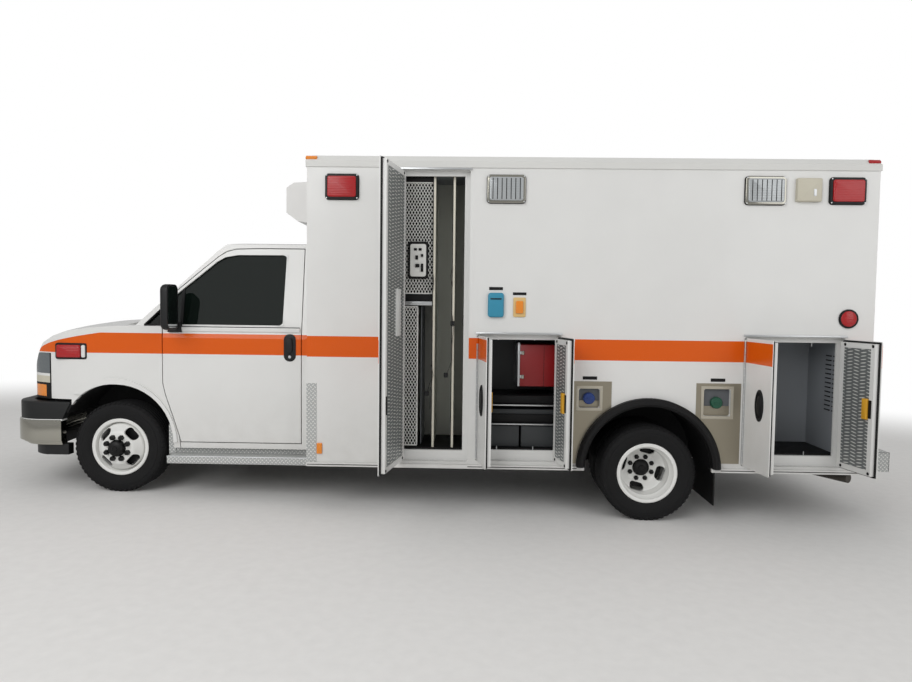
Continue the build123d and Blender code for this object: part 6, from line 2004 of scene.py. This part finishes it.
    def rear(self) -> None:
        """Rear compartment: a mat, and two columns of louvres in its rear side wall."""
        form = Form()
        form.block((4.726, -1.147, 0.497), (5.438, self.back_low, 0.509), SEAL_RUBBER, 0.002)
        # Black strips between the slats stand for the louvres' openings: painted shade
        for start, end in ((-1.045, -0.965), (-1.140, -1.070)):
            for number in range(13):
                low = 0.815 + number * 0.034
                top = low + 0.010
                form.block((5.4355, start, low), (5.4395, end, top), SEAL_RUBBER, 0.001)
                form.block((5.4325, start, top), (5.4395, end, low + 0.014), LINER_GREY, 0.001)
        for along, up in ((4.985, 1.304), (5.235, 1.304), (5.205, 0.497)):
            form.rod((along, -1.150, up), (along, -1.150, up + 0.028), 0.004, ALUMINIUM, 8)
        form.done("rear_fittings", "root", "liner_grey")

    def build(self) -> None:
        """Fills the three open compartments."""
        self.tall()
        self.middle()
        self.rear()


@dataclass
class SideTrim:
    """Small parts on the module's outer skin: filler panels, vent, markers, rails and guards."""

    # centre and size of the steel panel, centre and size of its recess, and the cap
    fillers: tuple = (
        ((3.627, 0.7275), (0.280, 0.609), (3.605, 0.907), (0.153, 0.142), CAP_BLUE),
        ((4.543, 0.734), (0.324, 0.590), (4.534, 0.888), (0.195, 0.199), CAP_GREEN),
    )
    frame: float = 0.020
    # centre along and up, and outer radius, of the rear wheel's flare
    flare: Point = (4.040, 0.391, 0.526)
    # outer and inner radius of the black ring inside the rear arch
    arch_ring: Flat = (0.504, 0.462)

    def filler(self, form: Form, row: tuple) -> None:
        """Stainless panel round a recess, with its frame, cap and name plate left bare.

        Args:
            form: Form that it is added to.
            row: One row of the fillers.
        """
        centre, size, hole, mouth, finish = row
        out, edge = -SIDE, self.frame
        left, right = centre[0] - size[0] / 2, centre[0] + size[0] / 2
        low, high = centre[1] - size[1] / 2, centre[1] + size[1] / 2
        hole_left, hole_right = hole[0] - mouth[0] / 2, hole[0] + mouth[0] / 2
        hole_low, hole_high = hole[1] - mouth[1] / 2, hole[1] + mouth[1] / 2
        arch = self.clear_of_flare(left, right, low, hole_low)
        for panel in (
            corners(left, high, right, hole_high),
            corners(left, hole_high, hole_left, hole_low),
            corners(hole_right, hole_high, right, hole_low),
            [(left, hole_low), (right, hole_low), *arch],
        ):
            form.outline(panel, out, 0.002, STAINLESS)
        shelf = (hole[0], hole_low + mouth[1] * 0.18)
        strip = (out + 0.001, 0.005, FRAME_STEEL, 0.0015)
        wide = mouth[0] + 2 * edge
        # The grey pan at the back of the recess is painted shade
        form.plates(Facing.STREET, (
            (hole, mouth, out - 0.0315, 0.001, PAN_SHADE),
            (shelf, (mouth[0], mouth[1] * 0.36), out - 0.0305, 0.006, STAINLESS, 0.002),
            ((hole[0], hole_high + edge / 2), (wide, edge), *strip),
            ((hole[0], hole_low - edge / 2), (wide, edge), *strip),
            ((hole_left - edge / 2, hole[1]), (edge, mouth[1]), *strip),
            ((hole_right + edge / 2, hole[1]), (edge, mouth[1]), *strip),
        ))
        cap = [(0.0, 0.030), (0.036, 0.028), (0.042, 0.022), (0.044, 0.0), (0.0, 0.0)]
        x, y, z = hole[0], SIDE + 0.026, hole[1] - 0.003
        form.lathe(cap, (x, y, z), finish, 28)
        near, far = (x - 0.022, y - 0.034, z - 0.005), (x + 0.022, y - 0.026, z + 0.005)
        form.block(near, far, finish, 0.002)
        form.plate((x + 0.002, high + 0.024), (0.105, 0.024), out, 0.002, SEAL_RUBBER, bevel=0.0005)

    def clear_of_flare(self, left: float, right: float, low: float, high: float) -> list[Flat]:
        """Lower corners of a panel, cut back along the wheel's flare.

        Args:
            left: Its front edge.
            right: Its rear edge.
            low: Its lower edge.
            high: Height down to which it is drawn already.

        Returns:
            The corners that close it.
        """
        along, up, reach = self.flare
        rows = [low + (high - 0.002 - low) * step / 8 for step in range(8, -1, -1)]
        gaps = [max(reach**2 - (v - up) ** 2, 0.0) ** 0.5 for v in rows]
        if right < along:
            return [(min(right, along - gap), v) for v, gap in zip(rows, gaps)] + [(left, low)]
        edge = [(max(left, along + gap), v) for v, gap in zip(rows, gaps)]
        return [(right, low)] + edge[::-1]

    def small(self, form: Form) -> None:
        """Vent cover, marker lamps, name plates left bare, lower joints and drip rails."""
        out = -SIDE
        form.plates(Facing.STREET, (
            ((2.912, 1.580), (0.116, 0.178), out, 0.030, TEAL_PLASTIC, 0.012, 0.020),
            ((2.912, 1.625), (0.080, 0.010), out + 0.029, 0.004, BLACK_PLASTIC, 0.002),
            ((2.912, 1.700), (0.100, 0.022), out, 0.002, SEAL_RUBBER),
            ((3.084, 1.566), (0.090, 0.142), out, 0.010, AMBER_HOUSING, 0.004, 0.008),
            ((3.084, 1.566), (0.054, 0.090), out + 0.008, 0.014, LENS_AMBER, 0.005, 0.008),
            ((3.084, 1.664), (0.098, 0.020), out, 0.002, SEAL_RUBBER),
            ((1.623, 0.506), (0.040, 0.080), out, 0.012, LENS_AMBER, 0.004, 0.006),
        ))
        for front, rear in ((1.534, 2.190), (2.720, 3.520), (4.570, 5.640)):
            middle = ((front + rear) / 2, 0.390)
            form.plate(middle, (rear - front, 0.006), out + 0.0215, 0.001, SEAL_RUBBER)
        gutters = ((2.190, 2.730, 2.556), (2.770, 3.402, 1.372), (4.712, 5.452, 1.377))
        for front, rear, up in gutters:
            form.block((front, SIDE - 0.012, up), (rear, SIDE, up + 0.010), ALUMINIUM, 0.003)
            low, high = (front, SIDE - 0.014, up - 0.004), (rear, SIDE - 0.011, up + 0.004)
            form.block(low, high, ALUMINIUM, 0.001)

    def build(self) -> None:
        """Makes the street side trim, and what both sides have."""
        form, guard, lens = Form(), Form(), Form()
        for row in self.fillers:
            self.filler(form, row)
        self.small(form)
        form.done("street_trim", "root", "tread_plate")
        guard.plate((1.5635, 0.681), (0.075, 0.618), -SIDE, 0.002, TREAD_STREET)
        along, up, _ = self.flare
        outer, inner = (
            arc((along - r, 0.393), (along, up + r), (along + r, 0.393), 40) for r in self.arch_ring
        )
        guard.outline(outer + inner[::-1], 1.150, 0.0705, SEAL_RUBBER)
        guard.pair("corner_guard", "root", "tread_plate")
        for spot, finish in ((1.560, LENS_AMBER), (5.600, LENS_RED)):
            slope = Matrix.Translation((spot, -1.206, 2.6285))
            slope = slope @ Matrix.Rotation(radians(45), 4, "X")
            lens.block((-0.042, -0.014, -0.003), (0.042, 0.014, 0.016), finish, 0.005, slope)
        lens.pair("corner_lens", "root", "lamp_lens")


def main() -> None:
    """Builds the scene, piece by piece."""
    logging.basicConfig(level=logging.INFO, format="%(message)s")
    Viewpoint().build()
    Studio().build()
    Bodywork().build()
    Wheel().build()
    Nose().build()
    Boards().build()
    CabTrim().build()
    CabSeats().build()
    DoorHardware().build()
    LampSet().build()
    for leaf in (*LEAVES, Leaf("curb_bay_door", 4.724, 5.440, 0.428, 1.362, 4.724, 0.0, curb=True)):
        LeafDress(leaf).build()
    Fittings().build()
    SideTrim().build()


if __name__ == "__main__":
    main()
